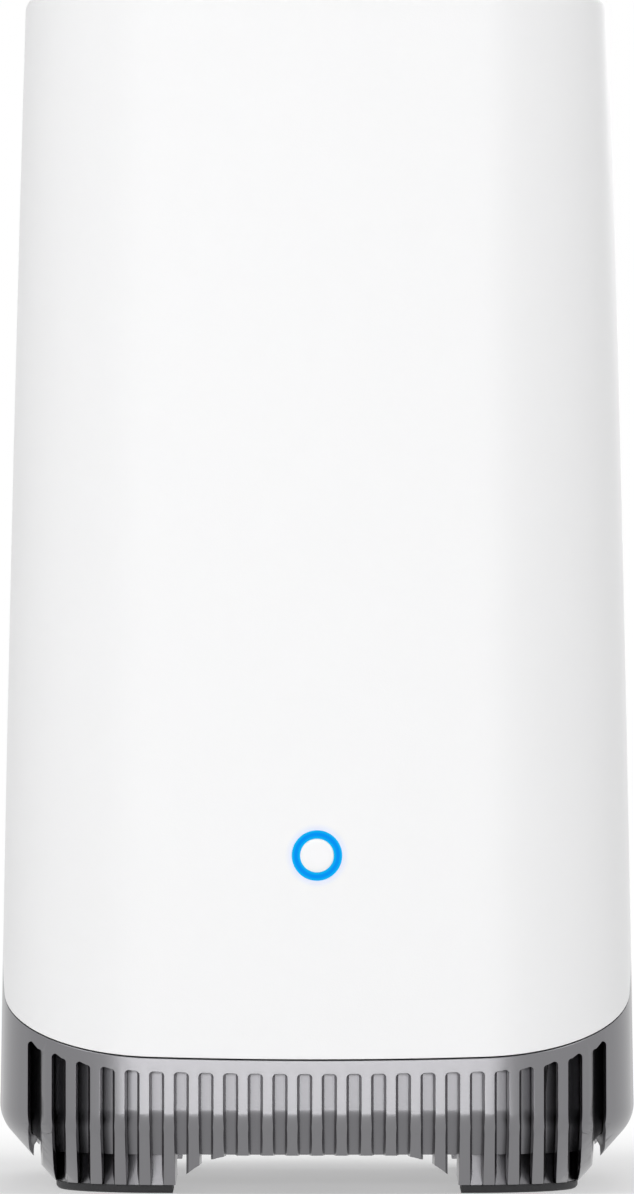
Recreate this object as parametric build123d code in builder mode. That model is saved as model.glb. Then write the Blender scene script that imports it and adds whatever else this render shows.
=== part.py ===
"""Security camera base station: a tapered white cover on a grey finned base with four feet.

The plan is a rounded square with slightly bowed faces, and the walls lean in as they rise. A plane that
rises towards the back parts the white cover from the grey base. The front of the base is a comb of
upright slots over an inner tub, and two arches under it leave a foot at each corner. The back has a
recessed panel with the sockets and buttons, and the underside has a door to a bay for a 2.5 inch drive.

Frame: millimetres, +Z up, the front faces -Y, origin on the floor under the middle of the object.
"""

from build123d import *

import os
from math import atan2, cos, degrees, radians, sin, sqrt, tan

os.makedirs("parts", exist_ok=True)

# Overall form
width = 104.0
height = 193.0
corner_radius = 26.0
face_bow_radius = 370.0
lean_at_middle = 1.77
lean_at_top = 4.2
chamfer_edge_height = 11.0
chamfer_angle = 41.3
chamfer_edge_blend = 4.0
top_edge_blend = 1.2
overrun = 8.0
half_width = width / 2
middle_height = (chamfer_edge_height + height) / 2
chamfer_slope = tan(radians(chamfer_angle))

# Parting plane between cover and base, lowest at the front
parting_front_height = 21.6
parting_tilt = 21.0
seam_gap = 0.25

# Underside, arches, feet and foot pads
underside_height = 6.3
arch_flat_half_width = 12.75
arch_blend_radius = 12.2
foot_core_inset = 9.2
pad_thickness = 1.3
pad_inset = 8.9
pad_inner_edge = 23.2
pad_corner_radius = 2.0
pad_edge_blend = 0.5

# Finned skirt
skirt_thickness = 2.2
skirt_clearance = 0.15
slot_count = 24
slot_pitch = 3.95
slot_width = 2.35
slot_top_radius = 0.65
slot_drop = 2.0
slot_reach = 24.0

# Inner tub
tub_wall = 1.8
tub_floor = 2.0
tub_lip = 3.0
tub_edge_blend = 3.0
tub_inset = skirt_thickness + skirt_clearance
tub_inner_inset = tub_inset + tub_wall
floor_top = underside_height + tub_floor

# Port panel in the back of the base
panel_width = 60.0
panel_low = 13.0
panel_high = 51.0
panel_corner_radius = 4.0
panel_clearance = 0.15
panel_sink = 5.0
panel_thickness = 2.0
panel_rim = 1.4
panel_rim_sink = 0.2
panel_flange = 1.2
panel_flange_thickness = 1.2
slot_bar_under_panel = 2.2
panel_middle = (panel_low + panel_high) / 2
panel_height = panel_high - panel_low
panel_face_y = half_width - panel_sink
panel_back_y = panel_face_y - panel_thickness

# Drive bay in the tub and its door
bay_width = 71.0
bay_depth = 15.5
bay_length = 101.0
bay_y = -2.0
door_length = 78.0
door_width = 18.8
door_thickness = 1.6
door_clearance = 0.2
door_hinge_clearance = 0.9
door_corner_radius = 1.5
door_tab_length = 12.0
door_tab_reach = 5.0
door_grip_length = 16.0
door_grip_width = 2.4
door_grip_depth = 0.7
door_frame_height = 4.5
door_frame_margin = 5.0
door_tab_margin = 1.0
knuckle_x = 18.0
knuckle_length = 8.0
knuckle_radius = 1.5
knuckle_clearance = 0.5
hinge_setback = 2.2
hinge_pin_radius = 0.75
hinge_running_clearance = 0.05
hinge_pin_grip = 2.6
door_screw_radius = 1.25
door_screw_hole_clearance = 0.15
door_screw_reach = 1.6
door_screw_bore_radius = 1.8
door_screw_bore_depth = 2.2
door_screw_head_radius = 2.2
door_screw_head = 0.8
frame_top = underside_height + door_frame_height
door_low_y = bay_y - door_width / 2
door_high_y = bay_y + door_width / 2
hinge_y = door_high_y + hinge_setback
hinge_z = underside_height + door_thickness
door_screw_y = door_low_y - door_tab_reach / 2
recess_top = underside_height + door_thickness + door_clearance

# Cage round the drive bay
cage_wall = 1.5
cage_seam = 0.1
cage_foot = 1.5
cage_ear_radius = 3.0
cage_ear_x = 31.0
cage_ear_reach = 3.1
cage_window = 13.0
cage_window_height = 17.0
cage_window_pitch = 18.0
cage_window_rise = 22.0
cage_window_rows = 4
cage_window_columns = 3
cage_slot_width = 44.0
cage_slot_depth = 7.0
cage_width = bay_width + 2 * cage_wall
cage_depth = bay_depth + 2 * cage_wall
cage_front_y = bay_y - cage_depth / 2
cage_back_y = bay_y + cage_depth / 2
cage_top = frame_top + bay_length + cage_wall

# Screws for the cover, the cage and the boards
screw_radius = 1.45
pilot_clearance = 0.05
screw_hole_clearance = 0.25
screw_head_radius = 2.6
screw_head = 1.6
screw_reach = 3.5
pilot_radius = screw_radius + pilot_clearance
screw_hole_radius = screw_radius + screw_hole_clearance

# Cover
cover_wall = 2.2
cover_top_wall = 2.5
post_x = 36.5
post_y = 28.0
post_radius = 3.4
post_gap = 0.1
post_top = 86.0
post_rib_low = 66.0
post_rib_thickness = 1.6
cover_screw_bore_radius = 3.1
cover_screw_bore_depth = 3.0
cover_screw_grip = 9.0
cover_screw_seat = pad_thickness + cover_screw_bore_depth

# Status light in the front of the cover
light_height = 54.5
light_outer_radius = 4.0
light_inner_radius = 2.75
light_clearance = 0.05
light_flange_radius = 5.5
light_flange = 1.0
light_tail = 1.0
light_shell_gap = 0.2
led_size = 1.1
led_thickness = 0.8
led_gap = 0.1
led_count = 4
led_board_width = 22.0
led_board_height = 12.0
led_board_thickness = 1.0
led_post_x = 8.0
led_post_radius = 2.0
led_screw_radius = 0.9
led_screw_head_radius = 1.7
led_screw_head = 0.9
led_screw_grip = 2.2

# Main board, standing on edge behind the cage
board_setback = 18.0
board_thickness = 1.6
board_width = 64.0
board_low = 14.0
board_high = 118.0
board_height = board_high - board_low
board_middle = (board_low + board_high) / 2
board_y = panel_face_y - board_setback
board_back_y = board_y + board_thickness
standoff_x = 28.0
standoff_low = 58.0
standoff_high = 108.0
standoff_radius = 2.9

# Sockets on the main board
socket_face_sink = 0.2
socket_clearance = 0.2
socket_face_y = panel_face_y - socket_face_sink
socket_depth = socket_face_y - board_back_y
ethernet_x = -19.0
ethernet_z = 24.5
ethernet_width = 16.0
ethernet_height = 13.6
ethernet_mouth_width = 12.0
ethernet_mouth_height = 8.0
ethernet_mouth_depth = 13.0
ethernet_latch_width = 6.0
ethernet_latch_height = 2.4
ethernet_contact_count = 8
ethernet_contact_pitch = 1.02
ethernet_contact_width = 0.5
ethernet_contact_height = 1.2
ethernet_contact_recess = 4.0
usb_x = 1.5
usb_z = 21.5
usb_width = 14.4
usb_height = 7.0
usb_wall = 0.6
usb_mouth_depth = 13.0
usb_tongue_width = 11.1
usb_tongue_thickness = 1.9
usb_tongue_recess = 1.6
usb_tongue_offset = 0.9
power_x = 20.0
power_z = 22.0
power_width = 10.0
power_height = 11.0
power_mouth_radius = 3.2
power_mouth_depth = 10.0
power_pin_radius = 1.0
power_pin_recess = 1.6

# Pairing button, reset plunger and their switches
button_x = 0.0
button_z = 41.0
button_radius = 5.0
button_clearance = 0.3
button_proud = 1.1
button_edge_blend = 0.4
button_flange_radius = 6.4
button_flange = 1.0
button_flange_gap = 0.3
button_stem_radius = 2.2
switch_size = 6.0
switch_height = 3.5
plunger_radius = 1.7
plunger_proud = 1.2
plunger_clearance = 0.1
plunger_sunk = 1.4
switch_bore_depth = 2.6
reset_x = 16.0
reset_hole_radius = 0.9
reset_switch_size = 4.2
reset_switch_height = 2.6
reset_plunger_radius = 1.0
reset_plunger_sunk = 1.0
reset_plunger_gap = 0.5
reset_bore_depth = 1.8

# Processor, memory, radio shield, heat sink and fan
processor_z = 88.0
processor_size = 15.0
processor_thickness = 1.2
memory_x = 13.0
memory_width = 9.0
memory_height = 11.0
memory_thickness = 1.0
shield_z = 58.0
shield_width = 24.0
shield_height = 16.0
shield_thickness = 2.6
sink_size = 40.0
sink_base = 2.0
sink_fin_height = 5.5
sink_fin_thickness = 1.2
sink_fin_pitch = 4.0
sink_fin_count = 10
sink_post_radius = 2.6
sink_post_space = 0.8
fan_size = 40.0
fan_thickness = 7.0
fan_corner_radius = 3.0
fan_bore_radius = 18.8
fan_hole_offset = 16.0
fan_base_radius = 8.0
fan_base_thickness = 1.0
fan_strut_width = 2.0
fan_shaft_radius = 1.0
fan_running_clearance = 0.05
fan_hub_radius = 8.5
fan_hub_gap = 0.4
fan_hub_recess = 0.6
fan_blade_tip = 18.2
fan_blade_root_sink = 0.8
fan_blade_thickness = 0.9
fan_blade_chord = 6.0
fan_blade_pitch = 36.0
fan_blade_count = 7
fan_screw_radius = 1.3
fan_screw_head_radius = 2.2
fan_screw_head = 0.9
fan_screw_grip = 3.0
sink_y = board_back_y + processor_thickness
sink_tip_y = sink_y + sink_base + sink_fin_height
fan_back_y = sink_tip_y + fan_thickness

# Drive connector board on top of the cage
sata_board_width = 54.0
sata_board_depth = 13.0
sata_board_thickness = 1.6
sata_screw_x = 25.0
sata_width = 42.0
sata_depth = 5.4
sata_reach = 6.0
sata_slot_width = 1.3
sata_slot_depth = 4.6
sata_slot_margin = 1.2

# Antenna carrier and antennas above the cage
carrier_width = 70.0
carrier_height = 58.0
carrier_thickness = 1.8
carrier_window = 14.0
carrier_window_pitch = 17.0
carrier_foot_width = 7.0
carrier_foot_depth = 12.0
carrier_foot = 1.8
antenna_width = 10.0
antenna_height = 44.0
antenna_thickness = 0.8
antenna_gap = 0.1
antenna_margin = 2.0

# Speaker that fires down through the underside
speaker_y = -31.0
speaker_radius = 12.8
gasket_thickness = 0.8
gasket_width = 1.8
speaker_flange = 1.2
speaker_flange_width = 1.6
speaker_height = 6.0
speaker_wall = 0.8
speaker_neck_radius = 8.2
magnet_radius = 7.6
magnet_height = 4.5
magnet_edge_blend = 0.6
cone_gap = 0.3
cone_thickness = 0.5
cone_rim_radius = 10.4
cone_neck_radius = 3.6
cone_rise = 3.4
grille_radius = 10.6
grille_slot_width = 1.6
grille_slot_pitch = 3.2
grille_slot_count = 7

# Air slots in the underside
vent_y = 24.0
vent_length = 18.0
vent_width = 1.8
vent_pitch = 3.6
vent_count = 5


# Shared forms: plan outline, leaning body, chamfered body, parting plane, arches, slots and screws
def lean_at(level):
    """How far the wall has leaned in at a level: the parabola through the three set heights."""
    share = (level - chamfer_edge_height) / (height - chamfer_edge_height)
    return lean_at_top * share**2 + (4 * lean_at_middle - lean_at_top) * share * (1 - share)


def outline(level, inset):
    """The plan at one level: four bowed faces and four corner arcs, all tangent, drawn in by inset."""
    bow_centre = face_bow_radius - half_width
    corner_centre = (sqrt(2 * (face_bow_radius - corner_radius) ** 2 - bow_centre**2) - bow_centre) / 2
    half_face = degrees(atan2(corner_centre, corner_centre + bow_centre))
    reach = corner_centre * sqrt(2)
    with BuildSketch(Plane.XY.offset(level), mode=Mode.PRIVATE) as plan:
        with BuildLine():
            for facing in (0, 90, 180, 270):
                away = radians(facing)
                bow_at = (-bow_centre * cos(away), -bow_centre * sin(away))
                CenterArc(bow_at, face_bow_radius - inset, facing - half_face, 2 * half_face)
                diagonal = radians(facing + 45)
                corner_at = (reach * cos(diagonal), reach * sin(diagonal))
                CenterArc(corner_at, corner_radius - inset, facing + half_face, 90 - 2 * half_face)
        make_face()
    return plan.sketch


def leaning_body(inset, low):
    """The walls above the level low, drawn in by inset and leaning in to the top."""
    with BuildPart(mode=Mode.PRIVATE) as body:
        levels = (low, middle_height, height)
        loft([outline(level, inset + lean_at(level)).face() for level in levels])
    return body.part


def chamfered_body(inset, bottom):
    """The skin of the object moved in by inset: leaning walls on a chamfer that runs down to bottom."""
    edge = chamfer_edge_height + inset * tan(radians(chamfer_angle / 2))
    edge_inset = inset + lean_at(edge)
    bottom_inset = edge_inset + (edge - bottom) * chamfer_slope
    with BuildPart(mode=Mode.PRIVATE) as body:
        add(leaning_body(inset, edge))
        loft([outline(edge, edge_inset).face(), outline(bottom, bottom_inset).face()], ruled=True)
    return body.part


def prism(level, inset, amount):
    """An upright block with the plan outline, drawn in by inset, from a level up by amount."""
    with BuildPart(mode=Mode.PRIVATE) as block:
        with BuildSketch(Plane.XY):
            add(outline(0, inset))
        extrude(amount=amount)
    return block.part.moved(Location((0, 0, level)))


def parting(offset):
    """The parting plane, moved up by offset along its own normal."""
    tilt = radians(parting_tilt)
    start = (0, -half_width, parting_front_height)
    return Plane(origin=start, x_dir=(1, 0, 0), z_dir=(0, -sin(tilt), cos(tilt))).offset(offset)


def facing_front(y):
    """An upright plane at y that faces the front, with x to the right and the height upwards."""
    return Plane.XZ.offset(-y)


def facing_back(y):
    """An upright plane at y that faces the back: seen from there, x runs the other way."""
    return Plane(origin=(0, y, 0), x_dir=(-1, 0, 0), z_dir=(0, 1, 0))


def facing_down(level):
    """A level plane that faces the floor, on which y runs the other way."""
    return Plane(origin=(0, 0, level), x_dir=(1, 0, 0), z_dir=(0, 0, -1))


def arches():
    """The two voids under the base, one from front to back and one from side to side."""
    centre = underside_height - arch_blend_radius
    flat = arch_flat_half_width
    foot = flat + sqrt(arch_blend_radius**2 - centre**2)
    with BuildPart(mode=Mode.PRIVATE) as voids:
        for plane in (Plane.XZ, Plane.YZ):
            with BuildSketch(plane):
                with BuildLine():
                    Line((-flat, underside_height), (flat, underside_height))
                    CenterArc((flat, centre), arch_blend_radius, 90, -degrees(atan2(foot - flat, -centre)))
                    Polyline((foot, 0), (foot, -overrun), (-foot, -overrun), (-foot, 0))
                    CenterArc((-flat, centre), arch_blend_radius, 90, degrees(atan2(foot - flat, -centre)))
                make_face()
            extrude(amount=half_width + overrun, both=True)
    return voids.part


def slots(places, plane, depth):
    """Cutters with rounded tops, hanging from the x axis of a plane and running in behind it by depth."""
    reach = parting_front_height + width
    with BuildPart(mode=Mode.PRIVATE) as cutters:
        with BuildSketch(plane):
            with Locations(*[(x, 0) for x in places]):
                RectangleRounded(slot_width, reach, slot_top_radius, align=(Align.CENTER, Align.MAX))
        extrude(amount=-depth)
    return cutters.part


def screws(seat, places, radius, reach, head_radius, head):
    """Adds screws to the part being made: the heads stand on the seat plane, the shanks go below it."""
    for size, amount in ((radius, -reach), (head_radius, head)):
        with BuildSketch(seat) as rounds:
            with Locations(*places):
                Circle(size)
        extrude(rounds.sketch, amount=amount)


def holes(seat, places, radius, depth):
    """Cuts round holes of one radius into the part being made, down from the seat plane."""
    with BuildSketch(seat) as rounds:
        with Locations(*places):
            Circle(radius)
    extrude(rounds.sketch, amount=-depth, mode=Mode.SUBTRACT)


feet_void = arches()
post_places = [(x, y) for x in (-post_x, post_x) for y in (-post_y, post_y)]

# Outer form: the skin that the cover and the skirt share
with BuildPart() as outer_form:
    add(chamfered_body(0, pad_thickness))
    chamfer_edges = outer_form.edges().filter_by_position(Axis.Z, chamfer_edge_height, chamfer_edge_height)
    fillet(chamfer_edges, chamfer_edge_blend)
    fillet(outer_form.faces().sort_by(Axis.Z)[-1].edges(), top_edge_blend)

# Cover: white moulding with four long screw posts, their ribs, and the hole for the status light
light_front_y = lean_at(light_height) - half_width
light_wall_y = light_front_y + cover_wall
light_flange_y = light_wall_y + light_shell_gap
light_tail_y = light_flange_y + light_flange + light_tail
led_board_y = light_tail_y + led_gap + led_thickness
led_post_places = [(-led_post_x, light_height), (led_post_x, light_height)]

with BuildPart() as post_ribs:
    with BuildSketch(Plane.XY.offset(post_rib_low)):
        with Locations((0, -post_y), (0, post_y)):
            Rectangle(width, post_rib_thickness)
        Rectangle(2 * post_x, width, mode=Mode.SUBTRACT)
    extrude(amount=post_top - post_rib_low)
    add(leaning_body(cover_wall / 2, chamfer_edge_height), mode=Mode.INTERSECT)

with BuildPart() as cover_inside:
    add(leaning_body(cover_wall, chamfer_edge_height))
    split(bisect_by=Plane.XY.offset(height - cover_top_wall), keep=Keep.BOTTOM)

with BuildPart() as top_shell:
    add(outer_form.part)
    add(cover_inside.part, mode=Mode.SUBTRACT)
    split(bisect_by=parting(seam_gap), keep=Keep.TOP)
    with BuildSketch(Plane.XY.offset(floor_top + post_gap)):
        with Locations(*post_places):
            Circle(post_radius)
    extrude(amount=post_top - floor_top - post_gap)
    add(post_ribs.part)
    holes(Plane.XY.offset(floor_top + cover_screw_grip), post_places, pilot_radius, cover_screw_grip)
    with BuildSketch(facing_front(led_board_y)):
        with Locations(*led_post_places):
            Circle(led_post_radius)
    extrude(amount=led_board_y - light_wall_y + light_shell_gap)
    holes(facing_back(led_board_y), led_post_places, led_screw_radius + pilot_clearance, led_screw_grip)
    with BuildSketch(facing_front(light_wall_y)):
        with Locations((0, light_height)):
            Circle(light_outer_radius + light_clearance)
    extrude(amount=overrun, both=True, mode=Mode.SUBTRACT)
top_shell.part.label = "top_shell"
export_step(top_shell.part, "parts/top_shell.step")

# Status light: a clear ring with a flange behind the wall, the white disc that fills it, and its board
with BuildPart() as light_ring:
    with BuildSketch(facing_front(light_flange_y)):
        with Locations((0, light_height)):
            Circle(light_outer_radius)
            Circle(light_inner_radius, mode=Mode.SUBTRACT)
    extrude(amount=overrun)
    add(outer_form.part, mode=Mode.INTERSECT)
    with BuildSketch(facing_front(light_flange_y + light_flange)):
        with Locations((0, light_height)):
            Circle(light_flange_radius)
    extrude(amount=light_flange)
    with BuildSketch(facing_front(light_tail_y)):
        with Locations((0, light_height)):
            Circle(light_outer_radius)
            Circle(light_inner_radius, mode=Mode.SUBTRACT)
    extrude(amount=light_tail)
light_ring.part.label = "light_ring"
export_step(light_ring.part, "parts/light_ring.step")

with BuildPart() as ring_core:
    with BuildSketch(facing_front(light_flange_y)):
        with Locations((0, light_height)):
            Circle(light_inner_radius - light_clearance)
    extrude(amount=overrun)
    add(outer_form.part, mode=Mode.INTERSECT)
ring_core.part.label = "ring_core"
export_step(ring_core.part, "parts/ring_core.step")

with BuildPart() as led_board:
    with BuildSketch(facing_front(led_board_y + led_board_thickness)):
        with Locations((0, light_height)):
            Rectangle(led_board_width, led_board_height)
        with Locations(*led_post_places):
            Circle(led_screw_radius + pilot_clearance, mode=Mode.SUBTRACT)
    extrude(amount=led_board_thickness)
led_board.part.label = "led_board"
export_step(led_board.part, "parts/led_board.step")

with BuildPart() as led_chips:
    with BuildSketch(facing_front(led_board_y)):
        with Locations((0, light_height)):
            with PolarLocations((light_outer_radius + light_inner_radius) / 2, led_count):
                Rectangle(led_size, led_size)
    extrude(amount=led_thickness)
led_chips.part.label = "led_chips"
export_step(led_chips.part, "parts/led_chips.step")

with BuildPart() as led_board_screws:
    screws(
        facing_back(led_board_y + led_board_thickness),
        led_post_places,
        led_screw_radius,
        led_board_thickness + led_screw_grip,
        led_screw_head_radius,
        led_screw_head,
    )
led_board_screws.part.label = "led_board_screws"
export_step(led_board_screws.part, "parts/led_board_screws.step")

# Finned skirt: the grey skin of the base, slotted at the front and beside and under the port panel
slot_places = [(index - (slot_count - 1) / 2) * slot_pitch for index in range(slot_count)]
beside_panel = [x for x in slot_places if abs(x) > panel_width / 2 + slot_pitch]
under_panel = [x for x in slot_places if abs(x) < panel_width / 2 + slot_pitch]
slot_start = parting(-slot_drop)
tilt = radians(parting_tilt)
front_slots = Plane(origin=slot_start.origin, x_dir=(1, 0, 0), z_dir=(0, -cos(tilt), -sin(tilt)))
run_to_back = (width - slot_reach) / cos(tilt)

with BuildPart() as panel_hole:
    with BuildSketch(facing_front(half_width + overrun)):
        with Locations((0, panel_middle)):
            RectangleRounded(
                panel_width + 2 * panel_clearance,
                panel_height + 2 * panel_clearance,
                panel_corner_radius + panel_clearance,
            )
    extrude(amount=half_width + overrun - panel_back_y + tub_wall)

with BuildPart() as fin_skirt:
    add(outer_form.part)
    add(chamfered_body(skirt_thickness, underside_height - skirt_clearance), mode=Mode.SUBTRACT)
    add(prism(0, foot_core_inset - skirt_clearance, underside_height), mode=Mode.SUBTRACT)
    split(bisect_by=parting(0), keep=Keep.BOTTOM)
    add(feet_void, mode=Mode.SUBTRACT)
    add(slots(slot_places, front_slots.offset(overrun), slot_reach + overrun), mode=Mode.SUBTRACT)
    add(slots(beside_panel, front_slots.offset(-run_to_back), slot_reach + overrun), mode=Mode.SUBTRACT)
    low_slots = Plane(
        origin=(0, half_width + overrun, panel_low - slot_bar_under_panel),
        x_dir=(1, 0, 0),
        z_dir=(0, -1, 0),
    )
    add(slots(under_panel, low_slots, -slot_reach), mode=Mode.SUBTRACT)
    add(panel_hole.part, mode=Mode.SUBTRACT)
fin_skirt.part.label = "fin_skirt"
export_step(fin_skirt.part, "parts/fin_skirt.step")

# Inner tub: floor, wall with a lip inside the cover, foot cores, drive bay mouth and hinge pockets
cage_ear_depths = (cage_front_y - cage_ear_reach, cage_back_y + cage_ear_reach)
cage_ears = [(x, y) for x in (-cage_ear_x, cage_ear_x) for y in cage_ear_depths]

with BuildPart() as tub_form:
    add(chamfered_body(tub_inset, underside_height))
    tub_edge_height = chamfer_edge_height + tub_inset * tan(radians(chamfer_angle / 2))
    tub_edges = tub_form.edges().filter_by_position(Axis.Z, tub_edge_height, tub_edge_height)
    fillet(tub_edges, tub_edge_blend)

with BuildPart() as inner_tub:
    add(tub_form.part)
    add(chamfered_body(tub_inner_inset, floor_top), mode=Mode.SUBTRACT)
    add(prism(pad_thickness, foot_core_inset, underside_height - pad_thickness + tub_floor / 2))
    with BuildSketch(Plane.XY.offset(underside_height)):
        Rectangle(2 * pad_inner_edge, 2 * width)
        Rectangle(2 * width, 2 * pad_inner_edge)
    extrude(amount=-underside_height, mode=Mode.SUBTRACT)
    split(bisect_by=parting(tub_lip), keep=Keep.BOTTOM)
    with BuildSketch(Plane.XY.offset(underside_height)):
        with Locations((0, bay_y)):
            Rectangle(door_length + 2 * door_frame_margin, door_width + 2 * door_frame_margin)
        with Locations((0, door_low_y)):
            Rectangle(
                door_tab_length + 2 * (door_clearance + door_tab_margin),
                door_tab_reach + door_clearance + door_tab_margin,
                align=(Align.CENTER, Align.MAX),
            )
    extrude(amount=door_frame_height)
    with BuildSketch(Plane.XY.offset(recess_top)):
        with Locations((0, door_high_y + door_hinge_clearance)):
            RectangleRounded(
                door_length + 2 * door_clearance,
                door_width + door_clearance + door_hinge_clearance,
                door_corner_radius,
                align=(Align.CENTER, Align.MAX),
            )
        with Locations((0, bay_y)):
            Rectangle(
                door_tab_length + 2 * door_clearance,
                door_width / 2 + door_tab_reach + door_clearance,
                align=(Align.CENTER, Align.MAX),
            )
    extrude(amount=-door_frame_height, mode=Mode.SUBTRACT)
    with BuildSketch(Plane.XY.offset(hinge_z + knuckle_radius + knuckle_clearance)):
        with Locations((-knuckle_x, bay_y), (knuckle_x, bay_y)):
            Rectangle(
                knuckle_length + 2 * knuckle_clearance,
                hinge_y - bay_y + knuckle_radius + knuckle_clearance,
                align=(Align.CENTER, Align.MIN),
            )
    extrude(amount=-door_frame_height, mode=Mode.SUBTRACT)
    with BuildSketch(Plane.XY.offset(frame_top)):
        with Locations((0, bay_y)):
            Rectangle(bay_width, bay_depth)
    extrude(amount=-door_frame_height, mode=Mode.SUBTRACT)
    for x in (-knuckle_x, knuckle_x):
        pin_end = x - knuckle_length / 2 - knuckle_clearance - hinge_pin_grip
        pin_length = knuckle_length + 2 * (knuckle_clearance + hinge_pin_grip)
        with BuildSketch(Plane.YZ.offset(pin_end)):
            with Locations((hinge_y, hinge_z)):
                Circle(hinge_pin_radius + hinge_running_clearance)
        extrude(amount=pin_length, mode=Mode.SUBTRACT)
    holes(
        Plane.XY.offset(recess_top + door_screw_bore_depth),
        [(0, door_screw_y)],
        door_screw_bore_radius,
        door_screw_bore_depth,
    )
    holes(Plane.XY.offset(frame_top), cage_ears, pilot_radius, screw_reach)
    holes(Plane.XY.offset(floor_top), post_places, screw_hole_radius, floor_top)
    holes(Plane.XY.offset(cover_screw_seat), post_places, cover_screw_bore_radius, cover_screw_seat)
    with BuildSketch(Plane.XY.offset(floor_top)):
        with Locations((0, speaker_y)):
            with GridLocations(grille_slot_pitch, 0, grille_slot_count, 1):
                Rectangle(grille_slot_width, 2 * grille_radius)
            Circle(grille_radius, mode=Mode.INTERSECT)
        with Locations((0, vent_y)):
            with GridLocations(0, vent_pitch, 1, vent_count):
                SlotOverall(vent_length, vent_width)
    extrude(amount=-tub_floor, mode=Mode.SUBTRACT)
    add(panel_hole.part, mode=Mode.SUBTRACT)
inner_tub.part.label = "inner_tub"
export_step(inner_tub.part, "parts/inner_tub.step")

# Foot pads: four dark rubber pads under the foot cores
for name, side_x, side_y in (
    ("foot_pad_front_left", -1, -1),
    ("foot_pad_front_right", 1, -1),
    ("foot_pad_rear_left", -1, 1),
    ("foot_pad_rear_right", 1, 1),
):
    with BuildPart() as foot_pad:
        with BuildSketch() as sole:
            add(outline(0, pad_inset))
            inner_corner = (side_x * pad_inner_edge, side_y * pad_inner_edge)
            with Locations(inner_corner):
                Rectangle(
                    width,
                    width,
                    align=(Align.MIN if side_x > 0 else Align.MAX, Align.MIN if side_y > 0 else Align.MAX),
                    mode=Mode.INTERSECT,
                )
            reach = pad_inner_edge + pad_thickness
            sharp = sole.vertices().filter_by(lambda corner: min(abs(corner.X), abs(corner.Y)) < reach)
            fillet(sharp, pad_corner_radius)
        extrude(amount=pad_thickness)
        fillet(foot_pad.faces().sort_by(Axis.Z)[0].edges(), pad_edge_blend)
    foot_pad.part.label = name
    export_step(foot_pad.part, f"parts/{name}.step")

with BuildPart() as cover_screws:
    screws(
        facing_down(cover_screw_seat),
        post_places,
        screw_radius,
        floor_top + cover_screw_grip - cover_screw_seat - screw_hole_clearance,
        screw_head_radius,
        screw_head,
    )
cover_screws.part.label = "cover_screws"
export_step(cover_screws.part, "parts/cover_screws.step")

# Drive door: a plate in a recess, with a screw tab, a finger grip and two hinge knuckles
with BuildPart() as drive_door:
    with BuildSketch(Plane.XY.offset(underside_height)):
        with Locations((0, bay_y)):
            RectangleRounded(door_length, door_width, door_corner_radius)
        with Locations((0, bay_y)):
            Rectangle(door_tab_length, door_width / 2 + door_tab_reach, align=(Align.CENTER, Align.MAX))
        with Locations((-knuckle_x, bay_y), (knuckle_x, bay_y)):
            Rectangle(knuckle_length, hinge_y - bay_y, align=(Align.CENTER, Align.MIN))
    extrude(amount=door_thickness)
    for x in (-knuckle_x, knuckle_x):
        with BuildSketch(Plane.YZ.offset(x - knuckle_length / 2)):
            with Locations((hinge_y, hinge_z)):
                Circle(knuckle_radius)
        extrude(amount=knuckle_length)
        with BuildSketch(Plane.YZ.offset(x - knuckle_length / 2)):
            with Locations((hinge_y, hinge_z)):
                Circle(hinge_pin_radius + hinge_running_clearance)
        extrude(amount=knuckle_length, mode=Mode.SUBTRACT)
    with BuildSketch(Plane.XY.offset(underside_height)):
        with Locations((0, bay_y)):
            SlotOverall(door_grip_length, door_grip_width)
    extrude(amount=door_grip_depth, mode=Mode.SUBTRACT)
    door_screw_spot = [(0, door_screw_y)]
    holes(
        Plane.XY.offset(hinge_z),
        door_screw_spot,
        door_screw_radius + door_screw_hole_clearance,
        door_thickness,
    )
    holes(
        Plane.XY.offset(underside_height + door_screw_head),
        door_screw_spot,
        door_screw_head_radius + door_screw_hole_clearance,
        door_screw_head,
    )
drive_door.part.label = "drive_door"
export_step(drive_door.part, "parts/drive_door.step")

with BuildPart() as door_screw:
    screws(
        facing_down(underside_height + door_screw_head),
        [(0, -door_screw_y)],
        door_screw_radius,
        door_thickness - door_screw_head + door_clearance + door_screw_reach,
        door_screw_head_radius,
        door_screw_head,
    )
door_screw.part.label = "door_screw"
export_step(door_screw.part, "parts/door_screw.step")

with BuildPart() as hinge_pins:
    for x in (-knuckle_x, knuckle_x):
        with BuildSketch(Plane.YZ.offset(x - knuckle_length / 2 - knuckle_clearance - hinge_pin_grip)):
            with Locations((hinge_y, hinge_z)):
                Circle(hinge_pin_radius)
        extrude(amount=knuckle_length + 2 * (knuckle_clearance + hinge_pin_grip))
hinge_pins.part.label = "hinge_pins"
export_step(hinge_pins.part, "parts/hinge_pins.step")

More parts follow.
